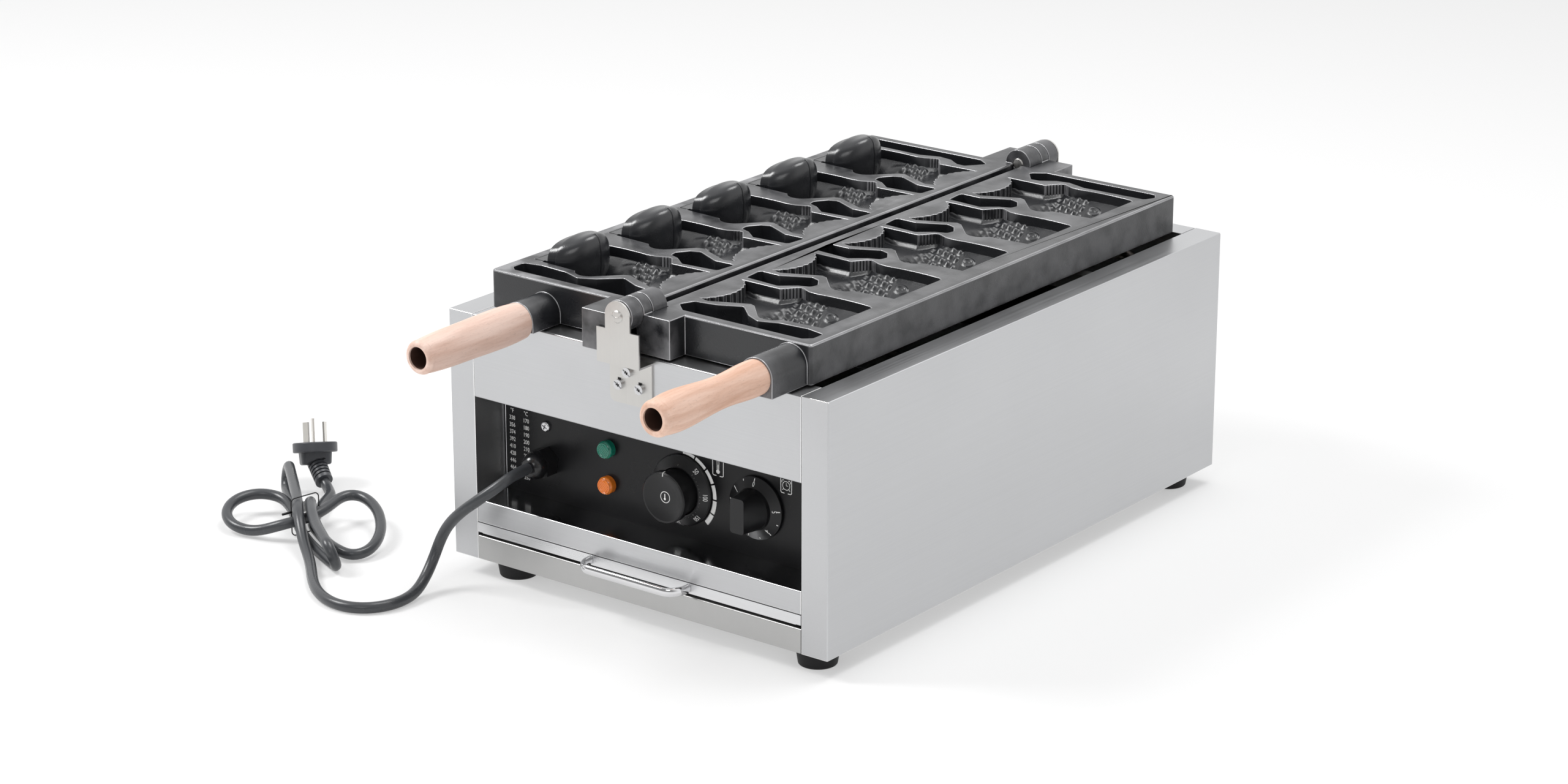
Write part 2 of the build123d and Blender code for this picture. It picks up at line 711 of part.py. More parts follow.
with BuildPart() as left_mould:
    add_mould_body(-1, -left_handle_x, left_boss_z, left_boss_reach, lug_left_reach)
    for end in ("front", "rear"):
        cut_notch(-1, (stations[end]["mid"][0] - knuckle_gap, stations[end]["mid"][1] + knuckle_gap))
        add_knuckle(-1, stations[end]["outer"])
        add_knuckle(-1, stations[end]["inner"])
    cut_bores()
    cut_cavities(-1)
    for y in fish_y:
        block(-(core_seat_out + seat_play), -seat_in,
              y - core_seat_w / 2 - seat_play, y + core_seat_w / 2 + seat_play,
              mould_top - core_seat_h - seat_play, mould_top + 1, mode=Mode.SUBTRACT)
    cut_bolt_hole(-left_handle_x, left_boss_z, left_boss_reach)
save(left_mould.part, "left_mould")

with BuildPart() as right_mould:
    add_mould_body(1, right_handle_x, right_boss_z, right_boss_reach, lug_right_reach)
    for end in ("front", "rear"):
        cut_notch(1, stations[end]["notch"])
        add_knuckle(1, stations[end]["mid"])
    cut_bores()
    cut_cavities(1)
    cut_bolt_hole(right_handle_x, right_boss_z, right_boss_reach)
save(right_mould.part, "right_mould")

# ---------------------------------------------------------------- mouth cores
bulb_steps = (0.0, 0.3, 0.55, 0.75, 0.88, 0.96, 0.995)
core_fullness = 2.5        # 2 would be an ellipse, more is squarer
core_taper = 1.7           # how late the bulb narrows, seen from above
core_bluntness = 9.0      # and how late it drops to its nose, seen from the side


def core_section(distance, y, half_width, half_height, count=16):
    """Full round section of a core, this far out from the hinge axis."""
    spots = []
    for n in range(count):
        angle = 2 * math.pi * (n + 0.5) / count
        c, s = math.cos(angle), math.sin(angle)
        spots.append((
            math.copysign(half_width * abs(c) ** (2 / core_fullness), c),
            math.copysign(half_height * abs(s) ** (2 / core_fullness), s),
        ))
    with BuildSketch(Plane((-distance, y, axis_z), x_dir=(0, 1, 0), z_dir=(1, 0, 0))) as section:
        with BuildLine():
            Spline(*spots, periodic=True)
        make_face()
    return section.sketch


for n, y in enumerate(fish_y):
    with BuildPart() as mouth_core:
        # seat let into the mould's outer wall, flush with its face
        block(-core_seat_out, -mouth_u, y - core_seat_w / 2, y + core_seat_w / 2,
              mould_top - core_seat_h, mould_top)
        block(-mouth_u - 0.6, -core_collar, y - core_half_w, y + core_half_w,
              mould_top - core_half_h, mould_top)
        collar = [
            core_section(core_collar, y, core_half_w, core_collar_h),
            core_section(core_ridge, y, core_half_w - core_step, core_half_h - core_step),
        ]
        loft(collar, ruled=True)
        bulb = [
            core_section(
                core_ridge + (core_nose - core_ridge) * t,
                y,
                core_half_w * math.sqrt(1 - t ** core_taper),
                (core_half_h + core_swell * t) * math.sqrt(1 - t ** core_bluntness),
            )
            for t in bulb_steps
        ]
        loft(bulb)
    save(mouth_core.part, f"mouth_core_{n + 1}")

# ---------------------------------------------------------------- handles
# radius, and how far along the handle
right_profile = ((13.6, 0.0), (13.8, 0.05), (12.3, 0.32), (14.2, 0.63), (15.2, 0.8), (13.6, 0.95))
left_profile = ((14.4, 0.0), (15.0, 0.07), (15.0, 0.53), (14.6, 0.78), (13.2, 0.955))

for name, x, z, reach, length, profile in (
    ("left_handle", -left_handle_x, left_boss_z, left_boss_reach, left_handle_len, left_profile),
    ("right_handle", right_handle_x, right_boss_z, right_boss_reach, handle_reach - right_boss_reach,
     right_profile),
):
    root = front - reach
    tip_r = profile[-1][0] - 2.6
    with BuildPart() as handle:
        with BuildSketch(Plane.XY.offset(z)):
            with BuildLine():
                Line((x, root), (x + profile[0][0], root))
                side_curve = Spline(*[(x + r, root - share * length) for r, share in profile])
                ThreePointArc(
                    side_curve @ 1,
                    (x + tip_r + 1.6, root - length + 1.0),
                    (x + tip_r, root - length),
                )
                Line((x + tip_r, root - length), (x, root - length))
                Line((x, root - length), (x, root))
            make_face()
        revolve(axis=Axis((x, 0, z), (0, 1, 0)))
        rod(handle_bore / 2, x, z, root - length - 1, root - length + handle_bore_d, mode=Mode.SUBTRACT)
        rod(bolt_d / 2, x, z, root - length, root + 1, mode=Mode.SUBTRACT)
    save(handle.part, name)

    with BuildPart() as handle_bolt:
        head_y = root - length + handle_bore_d
        rod(bolt_head_d / 2, x, z, head_y - bolt_head_h, head_y)
        chamfer(handle_bolt.edges().group_by(Axis.Y)[0], length=0.8)
        rod(bolt_d / 2, x, z, head_y - 1, root + bolt_grip)
        with BuildSketch(Plane.XZ.offset(-(head_y - bolt_head_h))):
            with Locations((x, z)):
                RegularPolygon(3.5, 6)
        extrude(amount=-4.5, mode=Mode.SUBTRACT)
    save(handle_bolt.part, f"{name}_bolt")

# ---------------------------------------------------------------- temperature control
dial_z = bottom + thermostat_z
with BuildPart() as temperature_dial:
    with BuildSketch(Plane.XY.offset(dial_z)):
        with BuildLine():
            Polyline(
                (thermostat_x + knob_stem_r + knob_gap, panel_y),
                (thermostat_x + dial_r, panel_y),
                (thermostat_x + dial_r, panel_y - 2.0),
                (thermostat_x + dial_r - 0.8, panel_y - 2.8),
                (thermostat_x + knob_stem_r + knob_gap + 1.0, panel_y - dial_h),
                (thermostat_x + knob_stem_r + knob_gap, panel_y - dial_h),
                close=True,
            )
        make_face()
    revolve(axis=Axis((thermostat_x, 0, dial_z), (0, 1, 0)))
save(temperature_dial.part, "temperature_dial")

shaft_in_knob = 14.0
with BuildPart() as temperature_knob:
    y_face = panel_y - knob_h
    with BuildSketch(Plane.XY.offset(dial_z)):
        with BuildLine():
            Polyline(
                (thermostat_x, panel_y - knob_gap),
                (thermostat_x + knob_stem_r, panel_y - knob_gap),
                (thermostat_x + knob_stem_r - 0.8, y_face + knob_cap_h + 1.0),
                (thermostat_x + knob_cap_r, y_face + knob_cap_h),
                (thermostat_x + knob_cap_r, y_face + 1.0),
                (thermostat_x + knob_cap_r - 1.0, y_face),
                (thermostat_x + knob_cap_r - 2.2, y_face),
            )
            ThreePointArc(
                (thermostat_x + knob_cap_r - 2.2, y_face),
                (thermostat_x + knob_cap_r / 2, y_face + 2.2),
                (thermostat_x, y_face + 3.0),
            )
            Line((thermostat_x, y_face + 3.0), (thermostat_x, panel_y - knob_gap))
        make_face()
    revolve(axis=Axis((thermostat_x, 0, dial_z), (0, 1, 0)))
    rod(shaft_d / 2, thermostat_x, dial_z, panel_y - shaft_in_knob, panel_y, mode=Mode.SUBTRACT)
    # pointer groove across the edge of the cap
    with Locations((thermostat_x, y_face, dial_z + knob_cap_r - 1.5)):
        Box(1.2, 1.2, 4.0, mode=Mode.SUBTRACT)
save(temperature_knob.part, "temperature_knob")

body_front = panel_y + panel_t
shaft_play = 0.05
shaft_depth = 12.0
control_bodies = (
    ("thermostat", thermostat_x, thermostat_z, 40.0, 34.0, 46.0),
    ("timer", timer_x, timer_z, 48.0, 42.0, 48.0),
)
for name, x, z, width, depth, height in control_bodies:
    with BuildPart() as control_body:
        block(x - width / 2, x + width / 2, body_front, body_front + depth,
              bottom + z - height / 2, bottom + z + height / 2)
        fillet(control_body.edges().filter_by(Axis.Y), radius=4.0)
        rod(shaft_d / 2 + shaft_play, x, bottom + z, body_front - 1, body_front + shaft_depth + 1,
            mode=Mode.SUBTRACT)
        for side in (-1, 1):
            block(x + side * 12 - 3, x + side * 12 + 3, body_front + depth, body_front + depth + 8,
                  bottom + z - 4, bottom + z - 3.2)
    save(control_body.part, f"{name}_body")

    with BuildPart() as control_shaft:
        rod(shaft_d / 2, x, bottom + z, panel_y - shaft_in_knob, body_front + shaft_depth)
    save(control_shaft.part, f"{name}_shaft")

# ---------------------------------------------------------------- timer knob
timer_axis_z = bottom + timer_z
with BuildPart() as timer_knob:
    with BuildSketch(Plane.XY.offset(timer_axis_z)):
        with BuildLine():
            Polyline(
                (timer_x, panel_y - knob_gap),
                (timer_x + timer_skirt_r, panel_y - knob_gap),
                (timer_x + timer_skirt_r, panel_y - knob_gap - 1.8),
                (timer_x + timer_hub_r, panel_y - timer_skirt_h),
                (timer_x + timer_hub_r - 0.6, panel_y - timer_skirt_h - 3.0),
                (timer_x, panel_y - timer_skirt_h - 3.0),
                close=True,
            )
        make_face()
    revolve(axis=Axis((timer_x, 0, timer_axis_z), (0, 1, 0)))
    with BuildSketch(Plane.XZ.offset(-(panel_y - timer_skirt_h - 2.9))):
        with Locations((timer_x, timer_axis_z)):
            Circle(timer_hub_r - 0.7)
    with BuildSketch(Plane.XZ.offset(-(panel_y - timer_h))):
        with Locations((timer_x, timer_axis_z)):
            RectangleRounded(grip_w, grip_len, 2.5)
    loft()
    rod(shaft_d / 2, timer_x, timer_axis_z, panel_y - shaft_in_knob, panel_y, mode=Mode.SUBTRACT)
save(timer_knob.part, "timer_knob")

# ---------------------------------------------------------------- lamps and panel screw
for name, z in (("power_lamp", power_lamp_z), ("heat_lamp", heat_lamp_z)):
    with BuildPart() as lamp:
        with BuildSketch(Plane.XY.offset(bottom + z)):
            with BuildLine():
                Polyline(
                    (lamp_x, panel_y + lamp_body_len),
                    (lamp_x + lamp_body_d / 2, panel_y + lamp_body_len),
                    (lamp_x + lamp_body_d / 2, panel_y),
                    (lamp_x + lamp_d / 2, panel_y),
                    (lamp_x + lamp_d / 2, panel_y - lamp_h + 2.5),
                )
                ThreePointArc(
                    (lamp_x + lamp_d / 2, panel_y - lamp_h + 2.5),
                    (lamp_x + lamp_d / 2 - 1.2, panel_y - lamp_h + 0.9),
                    (lamp_x + lamp_d / 2 - 3.2, panel_y - lamp_h),
                )
                Polyline(
                    (lamp_x + lamp_d / 2 - 3.2, panel_y - lamp_h),
                    (lamp_x, panel_y - lamp_h),
                    (lamp_x, panel_y + lamp_body_len),
                )
            make_face()
        revolve(axis=Axis((lamp_x, 0, bottom + z), (0, 1, 0)))
    save(lamp.part, name)

with BuildPart() as panel_screw:
    rod(screw_d / 2, panel_screw_x, bottom + panel_screw_z, panel_y, panel_y + 10)
    rod(panel_screw_d / 2, panel_screw_x, bottom + panel_screw_z, panel_y - 2.6, panel_y)
    fillet(panel_screw.edges().group_by(Axis.Y)[0], radius=1.4)
    for width, height in ((5.0, 1.1), (1.1, 5.0)):
        with Locations((panel_screw_x, panel_y - 2.6, bottom + panel_screw_z)):
            Box(width, 3.0, height, rotation=(0, 25, 0), mode=Mode.SUBTRACT)
save(panel_screw.part, "panel_screw")

# ---------------------------------------------------------------- cable gland
gz = bottom + gland_z
gland_tip = panel_y - gland_hex - gland_nut
with BuildPart() as cable_gland_body:
    with BuildSketch(Plane.XZ.offset(-panel_y)):
        with Locations((gland_x, gz)):
            RegularPolygon(gland_af / 2, 6, major_radius=False, rotation=20)
    extrude(amount=gland_hex)
    rod(gland_thread_d / 2, gland_x, gz, panel_y, panel_y + panel_t + gland_thread_len)
    rod(cord_d / 2, gland_x, gz, panel_y - gland_hex - 1, panel_y + panel_t + gland_thread_len + 1,
        mode=Mode.SUBTRACT)
save(cable_gland_body.part, "cable_gland_body")

with BuildPart() as cable_gland_nut:
    with BuildSketch(Plane.XY.offset(gz)):
        with BuildLine():
            Polyline(
                (gland_x + cord_d / 2, panel_y - gland_hex),
                (gland_x + gland_af / 2, panel_y - gland_hex),
                (gland_x + gland_af / 2, panel_y - gland_hex - 3.5),
            )
            ThreePointArc(
                (gland_x + gland_af / 2, panel_y - gland_hex - 3.5),
                (gland_x + gland_af / 2 - 1.6, panel_y - gland_hex - 8.0),
                (gland_x + 6.8, gland_tip),
            )
            Polyline(
                (gland_x + 6.8, gland_tip),
                (gland_x + cord_d / 2, gland_tip),
                (gland_x + cord_d / 2, panel_y - gland_hex),
            )
        make_face()
    revolve(axis=Axis((gland_x, 0, gz), (0, 1, 0)))
save(cable_gland_nut.part, "cable_gland_nut")

with BuildPart() as cable_gland_locknut:
    with BuildSketch(Plane.XZ.offset(-(panel_y + panel_t))):
        with Locations((gland_x, gz)):
            RegularPolygon(gland_af / 2, 6, major_radius=False)
            Circle(gland_thread_d / 2, mode=Mode.SUBTRACT)
    extrude(amount=-5)
save(cable_gland_locknut.part, "cable_gland_locknut")

# ---------------------------------------------------------------- heaters, supports, terminal block
hz = bottom + heater_z
heater_y0 = front + partition_y + 34
heater_y1 = back - 40
for side, name in ((-1, "heater_left"), (1, "heater_right")):
    # tube bent into three loops under its mould
    step = (heater_out - heater_in) / 3
    xs = [side * (heater_in + n * step) for n in range(4)]
    with BuildPart() as heater:
        with BuildLine() as heater_line:
            FilletPolyline(
                (xs[0], front + partition_y - heater_tail, hz),
                (xs[0], heater_y1, hz),
                (xs[1], heater_y1, hz),
                (xs[1], heater_y0, hz),
                (xs[2], heater_y0, hz),
                (xs[2], heater_y1, hz),
                (xs[3], heater_y1, hz),
                (xs[3], front + partition_y - heater_tail, hz),
                radius=step / 2 - 0.5,
            )
        with BuildSketch(Plane(heater_line.line @ 0, z_dir=heater_line.line % 0)):
            Circle(heater_d / 2)
        sweep()
    save(heater.part, name)

support_top = hz - heater_d / 2
for name, y in (("heater_support_front", heater_y0 + 28), ("heater_support_rear", heater_y1 - 60)):
    with BuildPart() as heater_support:
        block(-inner_w, inner_w, y, y + sheet, support_top - support_h, support_top)
        block(-inner_w, inner_w, y, y + support_h, support_top - sheet, support_top)
        for side in (-1, 1):
            block(side * (inner_w - sheet), side * inner_w, y, y + support_h,
                  support_top - support_h, support_top)
    save(heater_support.part, name)

with BuildPart() as terminal_block:
    tb_y1 = front + partition_y
    block(terminal_x - terminal_pitch / 2, terminal_x + (terminal_count - 0.5) * terminal_pitch,
          tb_y1 - terminal_d, tb_y1,
          terminal_top - terminal_h, terminal_top)
    fillet(terminal_block.edges().filter_by(Axis.Y), radius=1.5)
    for n in range(terminal_count):
        post(terminal_well_r, terminal_x + n * terminal_pitch, tb_y1 - terminal_d / 2,
             terminal_top - 8, terminal_top + 1, mode=Mode.SUBTRACT)
save(terminal_block.part, "terminal_block")

# ---------------------------------------------------------------- power cord, its tie and its plug
cord_r = cord_d / 2


def in_hank(right, away, high):
    """Point given from the hank's middle: to the right, away from the front and above the table."""
    turn = math.radians(hank_turn)
    return (
        hank_x + right * math.cos(turn) - away * math.sin(turn),
        front + hank_y + right * math.sin(turn) + away * math.cos(turn),
        high,
    )


def fold(centre, heading, across, count=4):
    """Corners of a tight half turn, from the side that across points to round to the other."""
    step = math.pi / count
    reach = stub_r / math.cos(step / 2)
    corners = []
    for n in range(count):
        angle = (n + 0.5) * step
        corners.append(tuple(
            c + reach * (math.cos(angle) * a + math.sin(angle) * h)
            for c, h, a in zip(centre, heading, across)
        ))
    return corners


def loop(right, away, half_width, half_depth, first, last, low, high, count=7):
    """Corners of an open loop that is raised on its far side."""
    step = math.radians(last - first) / (count - 1)
    grow = 1 / math.cos(step / 2)
    corners = []
    for n in range(count):
        angle = math.radians(first) + n * step
        corners.append((
            right + half_width * grow * math.cos(angle),
            away + half_depth * grow * math.sin(angle),
            low + (high - low) * (1 + math.sin(angle)) / 2,
        ))
    return corners


def unit(*v):
    return tuple(Vector(*v).normalized())


def corner_radii(points):
    """Arcs as large as the runs beside them allow."""
    radii = []
    for before, at, after in zip(points, points[1:], points[2:]):
        run_in, run_out = Vector(*at) - Vector(*before), Vector(*after) - Vector(*at)
        turn = math.radians(run_in.get_angle(run_out))
        radii.append(0.45 * min(run_in.length, run_out.length) / math.tan(turn / 2))
    return radii


def tube(points, name):
    """Cord along straight runs joined by arcs."""
    radii = corner_radii(points)
    with BuildPart() as cord:
        with BuildLine():
            route = FilletPolyline(*points, radius=radii)
        with BuildSketch(Plane(route @ 0, z_dir=route % 0)):
            Circle(cord_r)
        sweep()
    share = cord.part.volume / (math.pi * cord_r ** 2 * route.length)
    print(f"{name}: length {route.length:.0f} mm, volume over section times length {share:.4f}")
    print("  radii", " ".join(f"{r:.0f}" for r in radii))
    save(cord.part, name)
    return route


def least_gap(line, spacing=1.5, apart=26.0):
    """Least gap of a tube to itself, on points along it that are further apart than a fold."""
    count = int(line.length / spacing)
    spots = [line @ (n / count) for n in range(count + 1)]
    skip = int(apart / spacing)
    return min(
        (spots[n] - spots[m]).length
        for n in range(len(spots))
        for m in range(n + skip, len(spots))
    ) - cord_d


# free stretch, from the gland over the table to the hank: x, y behind the case front, z
lead_points = [
    (gland_x, gland_tip - front + gland_grip, gz), (gland_x, -4, gz), (-121, -18, 91.5),
    (-133, -28, 80.5), (-149, -32.5, 67.5), (-163, -32, 53.5), (-171.5, -32, 39.5), (-174, -37.5, 25),
    (-172.5, -49, 13), (-169, -64, 6), (-167, -81, cord_r), (-170, -98, cord_r), (-180, -112, cord_r),
    (-197, -119, cord_r), (-219, -116, cord_r), (-245, -101, cord_r),
]
# hank: over the tie and back in four lobes, two tight folds and two open loops
hank_points = [
    (3, -73, 4.7), (-2.5, -41, 12), (-5.2, -17, 26.6), (-5.5, 10, 27), (-7, 40, 26.8),
    *fold((-12, 92, 16), unit(-0.1, 1, 0.06), unit(3, 0, 20)),
    (-9, 56, 5.2), (3.4, 33, 11.8), (5.6, 12, 26.4), (5.2, -14, 27.2), (8, -38, 25),
    *fold((19, -82, 14.8), unit(0.2, -1, 0), unit(-6, 0, 18)),
    (10, -52, 4.6), (0, -22, 5), (-5.5, 4, 7.6),
    *loop(-37, 29, 26, 28, 5, 262, 5, 17),
    (-17, -14, 15.6), (2, -4.6, 16.5), (16, 8, 18),
    *loop(38.5, -16, 22.5, 47, 105, -135, 5.2, 22),
    (13.5, -20, 5), (6, 2, 7.5), (7.4, 22, 4.7),
]
# last stretch, from the hank to the plug
tail_points = [(15.5, 60, 4.6), (22.5, 77, 4.6), (21.8, 86.5, 4.9), (19.8, 94, 6.7), (17.7, 99.5, 9.6)]

lead_points = [(x, front + y, z) for x, y, z in lead_points]
hank_points = [in_hank(*p) for p in hank_points]
tail_points = [in_hank(*p) for p in tail_points]
hank_start = tuple((Vector(*lead_points[-1]) + Vector(*hank_points[0])) / 2)
hank_end = tuple((Vector(*hank_points[-1]) + Vector(*tail_points[0])) / 2)

tube([*lead_points, hank_start], "power_cord_lead")
hank_line = tube([hank_start, *hank_points, hank_end], "power_cord_hank")
print(f"power_cord_hank: least gap to itself {least_gap(hank_line):.2f} mm")
tube([hank_end, *tail_points], "power_cord_tail")

tie_angle = math.radians(hank_turn + tie_turn)
tie_plane = Plane(
    in_hank(0.6, 4.9, (tie_low + tie_high) / 2),
    x_dir=(math.cos(tie_angle), math.sin(tie_angle), 0),
    z_dir=(math.sin(tie_angle), -math.cos(tie_angle), 0),
)
tie_rise = (tie_high - tie_low) / 2
with BuildPart() as cord_tie:
    with BuildLine(tie_plane):
        tie_ring = FilletPolyline(
            (-tie_half, -tie_rise), (tie_half, -tie_rise), (tie_half, tie_rise), (-tie_half, tie_rise),
            radius=4.0, close=True,
        )
    with BuildSketch(Plane(tie_ring @ 0, z_dir=tie_ring % 0)):
        Circle(tie_d / 2)
    sweep()
    # twisted ends
    with BuildSketch(Plane(tie_plane.from_local_coords((-tie_half + 0.3, 5, 0)), z_dir=-tie_plane.x_dir)):
        Circle(tie_d)
    extrude(amount=9)
save(cord_tie.part, "cord_tie")

neck_end = Vector(*tail_points[-1])
neck_dir = (neck_end - Vector(*tail_points[-2])).normalized()
neck_len = 20.0
tilt = math.radians(plug_tilt)
turn = math.radians(hank_turn + plug_turn)
away = Vector(*in_hank(0, 1, 0)) - Vector(*in_hank(0, 0, 0))
plug_up = away * math.sin(tilt) + Vector(0, 0, math.cos(tilt))
plug_right = Vector(math.cos(turn), math.sin(turn), 0)
plug_right = (plug_right - plug_up * plug_right.dot(plug_up)).normalized()
plug_base = neck_end + neck_dir * neck_len
plug_plane = Plane(plug_base + plug_up * plug_h, x_dir=plug_right, z_dir=plug_up)

with BuildPart() as plug_body:
    with BuildSketch(plug_plane):
        Circle(flange_r)
    extrude(amount=flange_h)
    fillet(plug_body.edges().filter_by(GeomType.CIRCLE), radius=1.2)
    with BuildSketch(plug_plane.offset(0.5)):
        RectangleRounded(plug_w, plug_t, 6.0)
    extrude(amount=-plug_h - 0.5, taper=4)
    fillet(plug_body.faces().sort_by(Axis(plug_base, plug_up))[0].edges(), radius=2.0)
    with BuildSketch(Plane(neck_end, x_dir=plug_right, z_dir=neck_dir)):
        Circle(neck_r)
    with BuildSketch(Plane(plug_base + plug_up * 4, x_dir=plug_right, z_dir=neck_dir)):
        Circle(neck_r + 0.6)
    loft()
    # flexing grooves round the neck
    for n in range(5):
        with BuildSketch(Plane(neck_end + neck_dir * (3 + 3.2 * n), z_dir=neck_dir)):
            Circle(neck_r + 4)
            Circle(neck_r - 1.1, mode=Mode.SUBTRACT)
        extrude(amount=1.3, mode=Mode.SUBTRACT)
save(plug_body.part, "plug_body")

with BuildPart() as plug_pins:
    for x, y, lean, length in (
        (-blade_out, -blade_near, 30, blade_len),
        (blade_out, -blade_near, -30, blade_len),
        (0, earth_far, 0, earth_len),
    ):
        with BuildSketch(plug_plane.offset(flange_h)):
            with Locations(Location((x, y, 0), (0, 0, lean))):
                Rectangle(blade_t, blade_w)
        extrude(amount=length)
save(plug_pins.part, "plug_pins")
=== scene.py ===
"""Countertop taiyaki maker: its finishes, printed controls, fish moulds and cord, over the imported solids."""
import bpy
import bmesh
import math
from mathutils import Matrix, Vector


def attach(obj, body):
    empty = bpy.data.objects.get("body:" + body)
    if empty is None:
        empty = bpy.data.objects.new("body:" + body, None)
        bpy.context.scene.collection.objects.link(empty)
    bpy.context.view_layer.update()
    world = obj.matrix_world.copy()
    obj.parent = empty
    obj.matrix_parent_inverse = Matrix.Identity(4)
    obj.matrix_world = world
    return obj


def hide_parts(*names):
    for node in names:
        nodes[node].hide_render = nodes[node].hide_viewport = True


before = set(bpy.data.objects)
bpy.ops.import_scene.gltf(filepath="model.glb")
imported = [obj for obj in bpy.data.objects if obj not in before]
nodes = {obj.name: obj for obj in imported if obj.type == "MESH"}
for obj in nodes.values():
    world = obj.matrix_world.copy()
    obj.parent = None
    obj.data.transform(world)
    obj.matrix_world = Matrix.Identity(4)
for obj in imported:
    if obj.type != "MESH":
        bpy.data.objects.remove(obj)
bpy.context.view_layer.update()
scene = bpy.context.scene
scene.view_settings.view_transform = "Standard"

# ---------------------------------------------------------------- places, in metres
front = -0.20825            # front face of the case
bottom = 0.016
panel_y = front + 0.035     # face of the control panel
axis_z = 0.253              # hinge axis
mould_top = 0.25275
mould_bottom = 0.2215
fish_y = [front + 0.087 + 0.090 * n for n in range(5)]
thermostat = (0.020, bottom + 0.089)
timer = (0.092, bottom + 0.091)


def mm(*values):
    return tuple(v / 1000 for v in values)


# ---------------------------------------------------------------- tools for making pieces
def pick(obj):
    bpy.ops.object.select_all(action="DESELECT")
    obj.select_set(True)
    bpy.context.view_layer.objects.active = obj
    return obj


def named(name):
    obj = bpy.context.object
    obj.name = name
    obj.data.name = name
    return obj


def settle(obj):
    """Places the mesh itself where the object stands."""
    pick(obj)
    bpy.ops.object.transform_apply(location=True, rotation=True, scale=True)
    return obj


def apply_all(obj):
    pick(obj)
    for modifier in list(obj.modifiers):
        bpy.ops.object.modifier_apply(modifier=modifier.name)
    return obj


def finish_mesh(obj, angle=35):
    """Merges doubles, turns the faces outwards and smooths what isn't an edge."""
    pick(obj)
    bpy.ops.object.mode_set(mode="EDIT")
    bpy.ops.mesh.select_all(action="SELECT")
    bpy.ops.mesh.remove_doubles(threshold=0.00001)
    bpy.ops.mesh.normals_make_consistent(inside=False)
    bpy.ops.object.mode_set(mode="OBJECT")
    bpy.ops.object.shade_smooth_by_angle(angle=math.radians(angle))
    return obj


def join(objs, name):
    bpy.ops.object.select_all(action="DESELECT")
    for obj in objs:
        obj.select_set(True)
    bpy.context.view_layer.objects.active = objs[0]
    bpy.ops.object.join()
    return named(name)


def wear(obj, material):
    obj.data.materials.clear()
    obj.data.materials.append(material)
    return obj


# ---------------------------------------------------------------- shared effects
def new_group(name, inputs, outputs):
    group = bpy.data.node_groups.new(name, "ShaderNodeTree")
    for label, kind, default in inputs:
        socket = group.interface.new_socket(label, in_out="INPUT", socket_type=kind)
        if default is not None:
            socket.default_value = default
    for label, kind in outputs:
        group.interface.new_socket(label, in_out="OUTPUT", socket_type=kind)
    return group, group.nodes.new("NodeGroupInput"), group.nodes.new("NodeGroupOutput")


def add_node(tree, kind, values=(), **settings):
    made = tree.nodes.new(kind)
    for key, value in settings.items():
        setattr(made, key, value)
    for key, value in dict(values).items():
        made.inputs[key].default_value = value
    return made


FLOAT, VECTOR = "NodeSocketFloat", "NodeSocketVector"

# fine lines of brushed sheet, with soft cloudy smears over them
brushed_grain, ins, outs = new_group(
    "brushed_grain",
    [("Vector", VECTOR, None), ("Place", VECTOR, None), ("Smear", FLOAT, 0.3)],
    [("Line", FLOAT), ("Cloud", FLOAT)],
)
lines = add_node(brushed_grain, "ShaderNodeTexNoise", {"Scale": 1.0, "Detail": 3.0, "Roughness": 0.6})
cloud = add_node(brushed_grain, "ShaderNodeTexNoise", {"Scale": 9.0, "Detail": 3.0, "Roughness": 0.55})
soften = add_node(brushed_grain, "ShaderNodeMapRange", {"From Min": 0.3, "From Max": 0.7})
fade = add_node(brushed_grain, "ShaderNodeMath", operation="MULTIPLY")
brushed_grain.links.new(ins.outputs["Vector"], lines.inputs["Vector"])
brushed_grain.links.new(ins.outputs["Place"], cloud.inputs["Vector"])
brushed_grain.links.new(cloud.outputs["Fac"], soften.inputs["Value"])
brushed_grain.links.new(soften.outputs["Result"], fade.inputs[0])
brushed_grain.links.new(ins.outputs["Smear"], fade.inputs[1])
brushed_grain.links.new(lines.outputs["Fac"], outs.inputs["Line"])
brushed_grain.links.new(fade.outputs["Value"], outs.inputs["Cloud"])

# bright, broken wear on outer edges, also painting the highlight of rounded edges
edge_wear_and_highlight, ins, outs = new_group(
    "edge_wear_and_highlight",
    [("Vector", VECTOR, None), ("From", FLOAT, 0.52), ("To", FLOAT, 0.62), ("Patches", FLOAT, 60.0)],
    [("Mask", FLOAT)],
)
shape = add_node(edge_wear_and_highlight, "ShaderNodeNewGeometry")
reach = add_node(edge_wear_and_highlight, "ShaderNodeMapRange")
patches = add_node(edge_wear_and_highlight, "ShaderNodeTexNoise", {"Detail": 3.0})
gaps = add_node(edge_wear_and_highlight, "ShaderNodeMapRange", {"From Min": 0.35, "From Max": 0.6})
both = add_node(edge_wear_and_highlight, "ShaderNodeMath", operation="MULTIPLY", use_clamp=True)
edge_wear_and_highlight.links.new(shape.outputs["Pointiness"], reach.inputs["Value"])
edge_wear_and_highlight.links.new(ins.outputs["From"], reach.inputs["From Min"])
edge_wear_and_highlight.links.new(ins.outputs["To"], reach.inputs["From Max"])
edge_wear_and_highlight.links.new(ins.outputs["Vector"], patches.inputs["Vector"])
edge_wear_and_highlight.links.new(ins.outputs["Patches"], patches.inputs["Scale"])
edge_wear_and_highlight.links.new(patches.outputs["Fac"], gaps.inputs["Value"])
edge_wear_and_highlight.links.new(reach.outputs["Result"], both.inputs[0])
edge_wear_and_highlight.links.new(gaps.outputs["Result"], both.inputs[1])
edge_wear_and_highlight.links.new(both.outputs["Value"], outs.inputs["Mask"])

